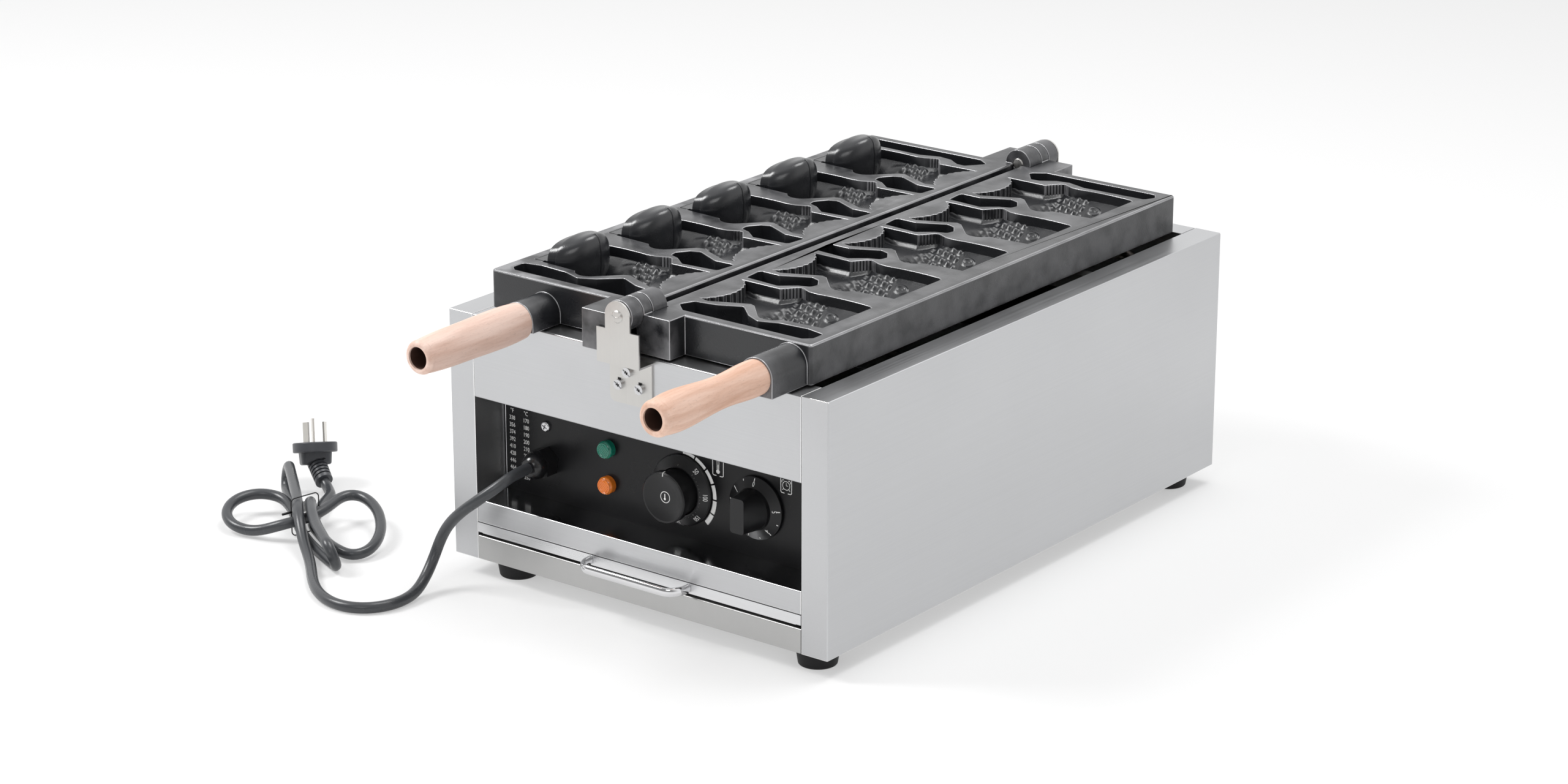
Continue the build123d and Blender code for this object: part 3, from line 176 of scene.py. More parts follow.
# fine skin of a cast, moulded or coated surface
skin_grain, ins, outs = new_group(
    "skin_grain",
    [("Vector", VECTOR, None), ("Scale", FLOAT, 1500.0), ("Blotch", FLOAT, 25.0)],
    [("Height", FLOAT), ("Blotch", FLOAT)],
)
fine = add_node(skin_grain, "ShaderNodeTexNoise", {"Detail": 2.0, "Roughness": 0.6})
broad = add_node(skin_grain, "ShaderNodeTexNoise", {"Detail": 4.0, "Roughness": 0.6})
skin_grain.links.new(ins.outputs["Vector"], fine.inputs["Vector"])
skin_grain.links.new(ins.outputs["Scale"], fine.inputs["Scale"])
skin_grain.links.new(ins.outputs["Vector"], broad.inputs["Vector"])
skin_grain.links.new(ins.outputs["Blotch"], broad.inputs["Scale"])
skin_grain.links.new(fine.outputs["Fac"], outs.inputs["Height"])
skin_grain.links.new(broad.outputs["Fac"], outs.inputs["Blotch"])


# ---------------------------------------------------------------- materials
def new_material(name, colour, roughness, metallic=0.0, **sockets):
    material = bpy.data.materials.new(name)
    material.use_nodes = True
    shader = material.node_tree.nodes["Principled BSDF"]
    shader.inputs["Base Color"].default_value = (*colour, 1)
    shader.inputs["Roughness"].default_value = roughness
    shader.inputs["Metallic"].default_value = metallic
    for label, value in sockets.items():
        shader.inputs[label.replace("_", " ")].default_value = value
    place = add_node(material.node_tree, "ShaderNodeTexCoord")
    return material, material.node_tree, shader, place.outputs["Object"]


def use_group(tree, group, vector, **values):
    made = add_node(tree, "ShaderNodeGroup", node_tree=group)
    tree.links.new(vector, made.inputs["Vector"])
    for key, value in values.items():
        made.inputs[key].default_value = value
    return made


def blend_colours(tree, shader, factor, low, high):
    mix = add_node(tree, "ShaderNodeMix", data_type="RGBA")
    mix.inputs[6].default_value = (*low, 1)
    mix.inputs[7].default_value = (*high, 1)
    tree.links.new(factor, mix.inputs[0])
    tree.links.new(mix.outputs[2], shader.inputs["Base Color"])
    return mix


def vary(tree, factor, target, low, high, from_low=0.3, from_high=0.7):
    made = add_node(tree, "ShaderNodeMapRange", {
        "From Min": from_low, "From Max": from_high, "To Min": low, "To Max": high,
    })
    tree.links.new(factor, made.inputs["Value"])
    tree.links.new(made.outputs["Result"], target)
    return made


def add_bump(tree, shader, height, distance, strength=1.0):
    bump = add_node(tree, "ShaderNodeBump", {"Distance": distance, "Strength": strength})
    tree.links.new(height, bump.inputs["Height"])
    tree.links.new(bump.outputs["Normal"], shader.inputs["Normal"])
    return bump


def brushed(name, colour, roughness, stretch, smear=0.35, lines_height=0.00002, top_shine=1.0):
    """Brushed sheet whose lines run along the direction with the low stretch."""
    material, tree, shader, place = new_material(name, colour, roughness, 1.0)
    turn = add_node(tree, "ShaderNodeMapping")
    turn.inputs["Scale"].default_value = stretch
    tree.links.new(place, turn.inputs["Vector"])
    grain = use_group(tree, brushed_grain, turn.outputs["Vector"], Smear=smear)
    tree.links.new(place, grain.inputs["Place"])
    total = add_node(tree, "ShaderNodeMath", operation="ADD")
    tree.links.new(grain.outputs["Line"], total.inputs[0])
    tree.links.new(grain.outputs["Cloud"], total.inputs[1])
    rough = vary(tree, total.outputs["Value"], shader.inputs["Roughness"], roughness - 0.06, roughness + 0.08, 0.3, 1.0)
    if top_shine < 1:
        facing = add_node(tree, "ShaderNodeNewGeometry")
        parts = add_node(tree, "ShaderNodeSeparateXYZ")
        tree.links.new(facing.outputs["Normal"], parts.inputs[0])
        upward = add_node(tree, "ShaderNodeMapRange", {"From Min": 0.6, "From Max": 0.9, "To Min": 1.0, "To Max": top_shine})
        tree.links.new(parts.outputs["Z"], upward.inputs["Value"])
        smooth = add_node(tree, "ShaderNodeMath", operation="MULTIPLY")
        tree.links.new(rough.outputs["Result"], smooth.inputs[0])
        tree.links.new(upward.outputs["Result"], smooth.inputs[1])
        tree.links.new(smooth.outputs[0], shader.inputs["Roughness"])
    blend_colours(tree, shader, grain.outputs["Line"], [c * 0.93 for c in colour], [min(1, c * 1.06) for c in colour])
    add_bump(tree, shader, grain.outputs["Line"], lines_height)
    return material


def moulded(name, colour, roughness, scale=2500.0, height=0.00002, spread=0.25, metallic=0.0, **sockets):
    """Moulded or coated surface with a fine skin."""
    material, tree, shader, place = new_material(name, colour, roughness, metallic, **sockets)
    skin = use_group(tree, skin_grain, place, Scale=scale)
    blend_colours(tree, shader, skin.outputs["Blotch"],
                  [c * (1 - spread) for c in colour], [min(1, c * (1 + spread)) for c in colour])
    vary(tree, skin.outputs["Blotch"], shader.inputs["Roughness"], roughness - 0.05, roughness + 0.06)
    add_bump(tree, shader, skin.outputs["Height"], height)
    return material


stainless = (0.565, 0.570, 0.580)
sheet_long = brushed("stainless_brushed_lengthwise", stainless, 0.34, (1500, 6, 1500))
sheet_cross = brushed("stainless_brushed_crosswise", stainless, 0.34, (6, 1500, 1500))
sheet_shelf = brushed("stainless_shelf", stainless, 0.34, (6, 1500, 1500), top_shine=0.4)
# lighter copy of the case's stainless for the crumb tray: painted light on it
sheet_tray_painted_lighter = brushed("stainless_tray_painted_lighter", (0.74, 0.745, 0.755), 0.30, (6, 1500, 1500))
sheet_inner = brushed("stainless_mill_finish", (0.52, 0.52, 0.515), 0.42, (60, 60, 60))
bracket_steel = brushed("bracket_steel", (0.60, 0.59, 0.57), 0.34, (500, 500, 8), smear=0.5)
screw_steel = moulded("screw_steel", (0.58, 0.58, 0.59), 0.18, 900, 0.00002, 0.12, 1.0)
chrome = moulded("polished_chrome", (0.70, 0.70, 0.71), 0.05, 400, 0.0, 0.04, 1.0)
nickel = moulded("nickel_plate", (0.66, 0.64, 0.60), 0.24, 900, 0.00001, 0.10, 1.0)
heater_tube = moulded("heat_tinted_tube", (0.22, 0.19, 0.17), 0.38, 700, 0.00002, 0.35, 1.0)
knob_black = moulded("knob_black", (0.009, 0.009, 0.010), 0.34, Specular_IOR_Level=0.35)
gland_black = moulded("gland_black", (0.008, 0.008, 0.009), 0.14, Specular_IOR_Level=0.5)
control_grey = moulded("control_housing", (0.10, 0.10, 0.10), 0.5)
panel_black = moulded("panel_black", (0.006, 0.006, 0.007), 0.30, 1200, 0.000008, 0.2, Specular_IOR_Level=0.25)
foot_rubber = moulded("foot_rubber", (0.010, 0.010, 0.011), 0.55, 1500, 0.00005, Specular_IOR_Level=0.3)
cord_sheath = moulded("cord_sheath", (0.050, 0.053, 0.058), 0.28, 900, 0.00002, 0.12)
plug_grey = moulded("plug_grey", (0.052, 0.055, 0.062), 0.40, 1800, 0.00003, 0.12)
print_white = moulded("print_white", (0.86, 0.86, 0.85), 0.5, 1500, 0.000004, 0.03)
lens_green = moulded("lens_green", (0.005, 0.20, 0.13), 0.12, 700, 0.000006, 0.25, Coat_Weight=0.6)
lens_amber = moulded("lens_amber", (0.80, 0.20, 0.015), 0.12, 700, 0.000006, 0.2, Coat_Weight=0.6)


def coated_cast():
    """Dark grained coating on cast iron, worn a little on its edges, whose brightness there is also a painted
    highlight.
    """
    colour = (0.030, 0.031, 0.036)
    material, tree, shader, place = new_material("coated_cast", colour, 0.34)
    shader.inputs["Specular IOR Level"].default_value = 0.60
    skin = use_group(tree, skin_grain, place, Scale=620.0, Blotch=18.0)
    wear_and_glint = use_group(tree, edge_wear_and_highlight, place, From=0.515, To=0.60, Patches=45.0)
    body = blend_colours(tree, shader, skin.outputs["Blotch"], (0.008, 0.0085, 0.010), (0.018, 0.019, 0.022))
    # edges brightened by the edge mask: wear, and a painted highlight
    bright = add_node(tree, "ShaderNodeMix", data_type="RGBA")
    bright.inputs[7].default_value = (0.24, 0.24, 0.25, 1)
    tree.links.new(body.outputs[2], bright.inputs[6])
    tree.links.new(wear_and_glint.outputs["Mask"], bright.inputs[0])
    tree.links.new(bright.outputs[2], shader.inputs["Base Color"])
    vary(tree, skin.outputs["Blotch"], shader.inputs["Roughness"], 0.24, 0.38)
    add_bump(tree, shader, skin.outputs["Height"], 0.00011)
    return material


def beech(name, pale, dark):
    """Beech turned along Y: long grain and short dark flecks."""
    material, tree, shader, place = new_material(name, pale, 0.52)
    along = add_node(tree, "ShaderNodeMapping")
    along.inputs["Scale"].default_value = (150, 10, 150)
    tree.links.new(place, along.inputs["Vector"])
    grain = use_group(tree, skin_grain, along.outputs["Vector"], Scale=2.6, Blotch=1.0)
    flecks = add_node(tree, "ShaderNodeMapping")
    flecks.inputs["Scale"].default_value = (2400, 260, 2400)
    tree.links.new(place, flecks.inputs["Vector"])
    dots = add_node(tree, "ShaderNodeTexNoise", {"Scale": 1.0, "Detail": 1.0})
    tree.links.new(flecks.outputs["Vector"], dots.inputs["Vector"])
    fleck = add_node(tree, "ShaderNodeMapRange", {"From Min": 0.62, "From Max": 0.74, "To Max": 0.35})
    tree.links.new(dots.outputs["Fac"], fleck.inputs["Value"])
    streak = add_node(tree, "ShaderNodeMapRange", {"From Min": 0.32, "From Max": 0.64})
    tree.links.new(grain.outputs["Blotch"], streak.inputs["Value"])
    figure = blend_colours(tree, shader, streak.outputs["Result"], dark, pale)
    spotted = add_node(tree, "ShaderNodeMix", data_type="RGBA")
    spotted.inputs[7].default_value = (*[c * 0.55 for c in dark], 1)
    tree.links.new(figure.outputs[2], spotted.inputs[6])
    tree.links.new(fleck.outputs["Result"], spotted.inputs[0])
    tree.links.new(spotted.outputs[2], shader.inputs["Base Color"])
    vary(tree, grain.outputs["Height"], shader.inputs["Roughness"], 0.44, 0.60)
    add_bump(tree, shader, grain.outputs["Height"], 0.00008)
    return material


cast_coat = coated_cast()
# light grey of the moulds' rounded rims: worn coating, and a painted highlight along them
cast_rim_wear_and_highlight = moulded("cast_rim_wear_and_highlight", (0.36, 0.36, 0.37), 0.28, 600, 0.00002, 0.6, 0.7)
core_coat = moulded("core_coat", (0.020, 0.021, 0.024), 0.24, 700, 0.00005, 0.3, Specular_IOR_Level=0.7)
# near-black brown of the handles' bores: painted shade
bore_shade = moulded("bore_painted_shade", (0.050, 0.020, 0.012), 0.7, 1500, 0.00003, 0.3)
# bright metal of the sheets' rounded folds: a painted highlight
fold_painted_highlight = moulded("fold_painted_highlight", (0.88, 0.88, 0.88), 0.22, 600, 0.000008, 0.05, 1.0)
beech_pale = beech("beech_pale", (0.85, 0.64, 0.55), (0.68, 0.45, 0.36))
beech_warm = beech("beech_warm", (0.86, 0.60, 0.48), (0.68, 0.40, 0.28))

finishes = {
    sheet_long: ("side_panel_left", "side_panel_right", "tray_rail_left", "tray_rail_right"),
    sheet_cross: ("front_panel", "back_panel"),
    sheet_tray_painted_lighter: ("crumb_tray",),
    sheet_shelf: ("control_shelf",),
    sheet_inner: ("base_plate", "inner_partition", "heater_support_front", "heater_support_rear"),
    bracket_steel: ("hinge_bracket_front", "hinge_bracket_rear", "hinge_pin_front", "hinge_pin_rear"),
    screw_steel: ("back_panel_screws", "foot_screws", "bracket_screws", "panel_screw", "left_handle_bolt",
                  "right_handle_bolt", "thermostat_shaft", "timer_shaft"),
    chrome: ("tray_handle",),
    nickel: ("plug_pins",),
    heater_tube: ("heater_left", "heater_right"),
    cast_coat: ("left_mould", "right_mould"),
    core_coat: tuple(f"mouth_core_{n}" for n in range(1, 6)),
    beech_pale: ("left_handle",),
    beech_warm: ("right_handle",),
    panel_black: ("control_panel",),
    knob_black: ("temperature_dial", "temperature_knob", "timer_knob", "cord_tie"),
    gland_black: ("cable_gland_body", "cable_gland_nut", "cable_gland_locknut"),
    control_grey: ("thermostat_body", "timer_body", "terminal_block"),
    lens_green: ("power_lamp",),
    lens_amber: ("heat_lamp",),
    foot_rubber: ("foot_front_left", "foot_front_right", "foot_rear_left", "foot_rear_right"),
    cord_sheath: ("power_cord_lead", "power_cord_hank", "power_cord_tail"),
    plug_grey: ("plug_body",),
}
for material, names in finishes.items():
    for name in names:
        wear(nodes[name], material)

# ---------------------------------------------------------------- camera, floor and light
bpy.ops.object.camera_add(
    location=(1.8263, -2.39455, 1.1704), rotation=(math.radians(70.98), 0, math.radians(37.57)),
)
camera = named("camera")
camera.data.lens = 91.6
camera.data.sensor_width = 36
scene.camera = camera

floor_lift = 0.42           # share of plain white in what the camera sees of the floor
bpy.ops.mesh.primitive_plane_add(size=30, location=(0, 0, 0))
floor = named("floor")
floor_paper = bpy.data.materials.new("floor_paper")
floor_paper.use_nodes = True
tree = floor_paper.node_tree
shader = tree.nodes["Principled BSDF"]
shader.inputs["Base Color"].default_value = (0.93, 0.93, 0.93, 1)
shader.inputs["Roughness"].default_value = 0.9
shader.inputs["Specular IOR Level"].default_value = 0.1
looked_at = add_node(tree, "ShaderNodeLightPath")
either = add_node(tree, "ShaderNodeMath", operation="MAXIMUM")
lifted = add_node(tree, "ShaderNodeMath", {1: floor_lift}, operation="MULTIPLY")
glow = add_node(tree, "ShaderNodeEmission", {"Color": (1, 1, 1, 1), "Strength": 1.0})
paper = add_node(tree, "ShaderNodeMixShader")
tree.links.new(looked_at.outputs["Is Camera Ray"], either.inputs[0])
tree.links.new(looked_at.outputs["Is Glossy Ray"], either.inputs[1])
tree.links.new(either.outputs[0], lifted.inputs[0])
tree.links.new(lifted.outputs[0], paper.inputs[0])
tree.links.new(shader.outputs[0], paper.inputs[1])
tree.links.new(glow.outputs[0], paper.inputs[2])
tree.links.new(paper.outputs[0], tree.nodes["Material Output"].inputs["Surface"])
wear(floor, floor_paper)

world = bpy.data.worlds.new("studio")
scene.world = world
world.use_nodes = True
tree = world.node_tree
tree.nodes.clear()
path = add_node(tree, "ShaderNodeLightPath")
seen = add_node(tree, "ShaderNodeMath", operation="MAXIMUM")
clear = add_node(tree, "ShaderNodeMath", operation="MAXIMUM")
tree.links.new(path.outputs["Is Camera Ray"], seen.inputs[0])
tree.links.new(path.outputs["Is Glossy Ray"], seen.inputs[1])
tree.links.new(seen.outputs[0], clear.inputs[0])
tree.links.new(path.outputs["Is Transmission Ray"], clear.inputs[1])
fill = add_node(tree, "ShaderNodeBackground", {"Color": (1, 1, 1, 1), "Strength": 0.45})
white = add_node(tree, "ShaderNodeBackground", {"Color": (1, 1, 1, 1), "Strength": 1.0})
heading = add_node(tree, "ShaderNodeTexCoord")
parts = add_node(tree, "ShaderNodeSeparateXYZ")
room = add_node(tree, "ShaderNodeMapRange", {"From Min": -0.7, "From Max": -0.2, "To Min": 0.30, "To Max": 1.0})
tree.links.new(heading.outputs["Generated"], parts.inputs[0])
tree.links.new(parts.outputs["Y"], room.inputs["Value"])
tree.links.new(room.outputs["Result"], white.inputs["Strength"])
swap = add_node(tree, "ShaderNodeMixShader")
sky = add_node(tree, "ShaderNodeOutputWorld")
tree.links.new(clear.outputs[0], swap.inputs[0])
tree.links.new(fill.outputs[0], swap.inputs[1])
tree.links.new(white.outputs[0], swap.inputs[2])
tree.links.new(swap.outputs[0], sky.inputs["Surface"])


def softbox(name, place, aim, size, power):
    bpy.ops.object.light_add(type="AREA", location=place)
    lamp = named(name)
    lamp.data.shape = "RECTANGLE"
    lamp.data.size, lamp.data.size_y = size
    lamp.data.energy = power
    lamp.rotation_euler = (Vector(aim) - Vector(place)).to_track_quat("-Z", "Y").to_euler()
    return lamp


softbox("softbox_left", (-1.9, -1.2, 2.2), (0, 0, 0.1), (1.0, 1.0), 52)
softbox("softbox_top", (0.3, 0.6, 2.6), (0, 0, 0.1), (1.4, 1.4), 36)
softbox("softbox_front", (0.8, -2.6, 1.7), (0, 0, 0.1), (1.2, 1.0), 9)

# ---------------------------------------------------------------- power cord
hank_middle = Vector((-0.3347, front - 0.017, 0))
hank_turn = math.radians(45)
fold_r = 0.0102
cord_d = 0.009
low = cord_d / 2


def in_hank(right, away, high):
    """Point given in millimetres from the hank's middle."""
    flat = Matrix.Rotation(hank_turn, 3, "Z") @ Vector(mm(right, away, 0))
    return hank_middle + flat + Vector((0, 0, high / 1000))


def fold(centre, heading, across, count=4):
    """Control points of a tight half turn."""
    step = math.pi / count
    reach = 1000 * fold_r / math.cos(step / 2)
    spots = []
    for n in range(count):
        angle = (n + 0.5) * step
        spots.append(Vector(centre) + reach * (
            math.cos(angle) * Vector(across).normalized() + math.sin(angle) * Vector(heading).normalized()
        ))
    return spots


def loop(right, away, half_width, half_depth, first, last, low_z, high_z, count=7):
    """Control points of an open loop, raised on its far side."""
    step = math.radians(last - first) / (count - 1)
    grow = 1 / math.cos(step / 2)
    spots = []
    for n in range(count):
        angle = math.radians(first) + n * step
        spots.append((
            right + half_width * grow * math.cos(angle),
            away + half_depth * grow * math.sin(angle),
            low_z + (high_z - low_z) * (1 + math.sin(angle)) / 2,
        ))
    return spots


lead = [
    (-117, 16, 98), (-117, -4, 98), (-121, -18, 91.5), (-133, -28, 80.5), (-149, -32.5, 67.5),
    (-163, -32, 53.5), (-171.5, -32, 39.5), (-174, -37.5, 25), (-172.5, -49, 13), (-169, -64, 6),
    (-167, -81, 4.5), (-170, -98, 4.5), (-180, -112, 4.5), (-197, -119, 4.5), (-219, -116, 4.5),
    (-245, -101, 4.5),
]
hank = [
    (3, -73, 4.7), (-2.5, -41, 12), (-5.2, -17, 26.6), (-5.5, 10, 27), (-7, 40, 26.8),
    *fold((-12, 92, 16), (-0.1, 1, 0.06), (3, 0, 20)),
    (-9, 56, 5.2), (3.4, 33, 11.8), (5.6, 12, 26.4), (5.2, -14, 27.2), (8, -38, 25),
    *fold((19, -82, 14.8), (0.2, -1, 0), (-6, 0, 18)),
    (10, -52, 4.6), (0, -22, 5), (-5.5, 4, 7.6),
    *loop(-37, 29, 26, 28, 5, 262, 5, 17),
    (-17, -14, 15.6), (2, -4.6, 16.5), (16, 8, 18),
    *loop(38.5, -16, 22.5, 47, 105, -135, 5.2, 22),
    (13.5, -20, 5), (6, 2, 7.5), (7.4, 22, 4.7),
]
tail = [(15.5, 60, 4.6), (22.5, 77, 4.6), (21.8, 86.5, 4.9), (19.8, 94, 6.7), (17.7, 99.5, 9.6)]
route = [Vector((x / 1000, front + y / 1000, z / 1000)) for x, y, z in lead]
route += [in_hank(*spot) for spot in hank + tail]


def ease_corners(points):
    """Adds a point on a long run beside a short one, so that the bend between them stays even."""
    eased = [points[0]]
    for before, at, after in zip(points, points[1:], points[2:]):
        run_in, run_out = at - before, after - at
        if run_out.length < run_in.length / 2:
            eased.append(at - run_in.normalized() * run_out.length)
        eased.append(at)
        if run_in.length < run_out.length / 2:
            eased.append(at + run_out.normalized() * run_in.length)
    return [*eased, points[-1]]


route = ease_corners(route)

cord_curve = bpy.data.curves.new("power_cord", "CURVE")
cord_curve.dimensions = "3D"
cord_curve.bevel_depth = low
cord_curve.bevel_resolution = 6
cord_curve.resolution_u = 6
cord_curve.use_fill_caps = True
spline = cord_curve.splines.new("NURBS")
spline.points.add(len(route) - 1)
for point, spot in zip(spline.points, route):
    point.co = (*spot, 1)
spline.order_u = 3
spline.use_endpoint_u = True
power_cord = bpy.data.objects.new("power_cord", cord_curve)
scene.collection.objects.link(power_cord)
wear(power_cord, cord_sheath)
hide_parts("power_cord_lead", "power_cord_hank", "power_cord_tail")
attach(power_cord, "case")

# ---------------------------------------------------------------- cast pieces: softened edges
def merged_copy(name, label):
    """One closed mesh with the node's own shape, ready for softening."""
    obj = bpy.data.objects.new(label, nodes[name].data.copy())
    scene.collection.objects.link(obj)
    pick(obj)
    bpy.ops.object.mode_set(mode="EDIT")
    bpy.ops.mesh.select_all(action="SELECT")
    bpy.ops.mesh.remove_doubles(threshold=0.00002)
    bpy.ops.mesh.dissolve_limited(angle_limit=math.radians(1.5))
    bpy.ops.object.mode_set(mode="OBJECT")
    return obj


def soften(obj, width, segments=2, angle=30, rim=None):
    bevel = obj.modifiers.new("softened_edges", "BEVEL")
    bevel.width = width
    if rim:
        obj.data.materials.append(rim)
        bevel.material = 1
    bevel.segments = segments
    bevel.use_clamp_overlap = False
    bevel.limit_method = "ANGLE"
    bevel.angle_limit = math.radians(angle)
    apply_all(obj)
    pick(obj)
    bpy.ops.object.shade_smooth_by_angle(angle=math.radians(38))
    even = obj.modifiers.new("even_shading", "WEIGHTED_NORMAL")
    even.keep_sharp = True
    return apply_all(obj)


def stand_in(name, width, material, body, rim=None, segments=2, angle=30):
    """Softened copy that is shown in place of its node, with its rounded rims, when a rim material is given, painted
    brighter as their highlight, on the moulds also as wear.
    """
    copied = wear(merged_copy(name, f"{name}_soft"), material)
    obj = soften(copied, width, segments, angle, rim)
    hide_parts(name)
    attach(obj, body)
    return obj


# moulds' rims painted light grey: wear and painted highlight
for name in ("left_mould", "right_mould"):
    stand_in(name, 0.0006, cast_coat, name, rim=cast_rim_wear_and_highlight)
# sheet folds painted bright: painted highlight
for name in ("side_panel_left", "side_panel_right"):
    stand_in(name, 0.0005, sheet_long, "case", rim=fold_painted_highlight)
for name in ("front_panel", "control_shelf"):
    stand_in(name, 0.0004, sheet_shelf if name == "control_shelf" else sheet_cross, "case",
             rim=fold_painted_highlight)

stand_in("tray_handle", 0.0010, chrome, "crumb_tray", segments=3)

# dark sheet inside the back panel, behind its vent slots: painted shade seen through them
shade_sheet_w, shade_sheet_h, shade_sheet_t = 0.270, 0.062, 0.0004
inside_back, vent_z = 0.32935, bottom + 0.1059
bpy.ops.mesh.primitive_cube_add(size=1, location=(0, inside_back - shade_sheet_t, vent_z))
shade_sheet = named("vent_shade_sheet")
shade_sheet.scale = (shade_sheet_w, shade_sheet_t, shade_sheet_h)
wear(settle(shade_sheet), knob_black)
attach(shade_sheet, "case")

# dark liner on the wall of each handle's bore: painted shade
bore_r, bore_deep, bore_lip = 0.0087, 0.024, 0.0016
for name, body, x, z, end_y in (
    ("left_bore_wall", "left_mould", -0.101, 0.229, -0.33525),
    ("right_bore_wall", "right_mould", 0.137, 0.236, -0.35025),
):
    bpy.ops.object.select_all(action="DESELECT")
    bpy.ops.mesh.primitive_cylinder_add(
        vertices=40, radius=bore_r, depth=bore_deep, end_fill_type="NOTHING",
        location=(x, end_y + bore_lip + bore_deep / 2, z), rotation=(math.radians(90), 0, 0),
    )
    wall = named(name)
    settle(wall)
    shell = wall.modifiers.new("wall", "SOLIDIFY")
    shell.thickness = 0.0004
    apply_all(wall)
    bpy.ops.object.shade_smooth_by_angle(angle=math.radians(40))
    wear(wall, bore_shade)
    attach(wall, body)

# ---------------------------------------------------------------- fish relief on the cavity floors
# u runs from the hinge to the mouth and v towards the back, from the middle of a fish, in mm
mouth_u = 136.9
outline = [
    (16.5, 27.5), (53.5, 26.5), (62.0, 37.5), (65.5, 39.0), (75.0, 34.2), (84.0, 33.4), (108.0, 34.8),
    (133.5, 33.0), (mouth_u, 30.5), (mouth_u, -30.5), (101.0, -33.0), (89.5, -39.8), (80.5, -36.0),
    (64.0, -18.5), (59.0, -16.5), (28.0, -30.5), (19.5, -28.0), (30.5, -1.0),
]
grid_pitch = 0.7
overlap = 1.1               # how far a relief runs into the walls
floor_d = 24.8              # just above the solid's floor
tail_floor = 12.2


def inside(u, v):
    hit = False
    for (u0, v0), (u1, v1) in zip(outline, outline[1:] + outline[:1]):
        if (v0 > v) != (v1 > v) and u < u0 + (v - v0) * (u1 - u0) / (v1 - v0):
            hit = not hit
    return hit


def wall_distance(u, v):
    """How far a point is from the nearest wall, the mouth's end left out."""
    least = 99.0
    for (u0, v0), (u1, v1) in zip(outline, outline[1:] + outline[:1]):
        if min(u0, u1) > 133:
            continue
        du, dv = u1 - u0, v1 - v0
        t = max(0, min(1, ((u - u0) * du + (v - v0) * dv) / (du * du + dv * dv)))
        least = min(least, math.hypot(u - u0 - t * du, v - v0 - t * dv))
    return least


def ease(value, low, high):
    t = max(0, min(1, (value - low) / (high - low)))
    return t * t * (3 - 2 * t)


def scales(u, v, far):
    """Slanting rows of plump scales between the tail and the gill."""
    across = (v + 0.25 * u) / 6.4
    row = math.floor(across)
    along = (u - 0.35 * v) / 7.6 + 0.5 * (row % 2)
    a, b = along % 1 - 0.5, across % 1 - 0.5
    mask = ease(u, 56, 64) * ease(far - u, 0, 4) * ease(36 - abs(v), 0, 5)
    plump = (0.5 + 0.5 * math.cos(2 * math.pi * a)) * (0.5 + 0.5 * math.cos(2 * math.pi * b)) ** 0.7
    return 2.3 * mask * plump * (1 + 0.5 * a)


def gill(u, v, at):
    """Smooth lobe of the gill cover, with a rounded edge on the side of the scales."""
    edge = u - at + 0.010 * (v - 6) ** 2
    return 2.2 * ease(edge, -3, 2) * (1 - 0.55 * ease(edge, 4, 16)) * ease(34 - abs(v), 0, 9)


def eye(u, v, at_u, at_v):
    far = math.hypot((u - at_u) * 0.8, (v - at_v) * 1.2)
    return 1.3 * math.exp(-((far - 3.6) / 1.0) ** 2) + 0.5 * math.exp(-(far / 1.4) ** 2)


def depth_of_fish(side, u, v):
    """Depth below the mould's face at one spot of a cavity."""
    wall = wall_distance(u, v)
    tail = min(tail_floor, 8.5 + 1.2 * wall)
    body = min(floor_d, 8 + 0.64 * wall)
    if side > 0:
        shapes = scales(u, v, 96) + 0.8 * gill(u, v, 99) + eye(u, v, 104, 24)
        rays = 0.35 * math.cos(2.4 * (v + 0.3 * u)) * ease(34 - u, 0, 8)
    else:
        shapes = scales(u, v, 94) + 1.3 * gill(u, v, 96)
        rays = 0.75 * math.cos(1.9 * (v + 0.25 * u)) * ease(u, 18, 26) * ease(56 - u, 0, 6) * ease(4 - v, 0, 6)
    return tail + (body - shapes - tail) * ease(u, 55, 74) - rays


def relief(name, side, middle):
    """A fine sheet shaped to the floor of one fish."""
    u_low, u_high, half_v = 14.0, mouth_u + 0.3, 42.0
    across, along = round((u_high - u_low) / grid_pitch), round(2 * half_v / grid_pitch)
    bpy.ops.object.select_all(action="DESELECT")
    bpy.ops.mesh.primitive_grid_add(
        x_subdivisions=across, y_subdivisions=along, size=1,
        location=(side * (u_low + u_high) / 2000, middle, mould_top),
    )
    obj = named(name)
    obj.scale = ((u_high - u_low) / 1000, 2 * half_v / 1000, 1)
    settle(obj)
    bpy.ops.object.mode_set(mode="EDIT")
    shaped = bmesh.from_edit_mesh(obj.data)
    outside = []
    for vert in shaped.verts:
        u, v = side * vert.co.x * 1000, (vert.co.y - middle) * 1000
        if inside(u, v) or wall_distance(u, v) < overlap:
            vert.co.z = mould_top - depth_of_fish(side, u, v) / 1000
        else:
            outside.append(vert)
    bmesh.ops.delete(shaped, geom=outside, context="VERTS")
    bmesh.update_edit_mesh(obj.data)
    bpy.ops.object.mode_set(mode="OBJECT")
    pick(obj)
    bpy.ops.object.shade_smooth()
    return obj


def copy_along(obj, name, step_y):
    """The same piece further back, with its own mesh."""
    twin = bpy.data.objects.new(name, obj.data.copy())
    scene.collection.objects.link(twin)
    twin.location.y = step_y
    return settle(twin)


def dress(obj, material, body):
    wear(obj, material)
    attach(obj, body)
    return obj


flute_line = [(54.0, 27.4), (62.3, 38.0), (65.6, 39.2), (72.5, 35.9)]
flute_r = 0.95
flute_low = 15.0


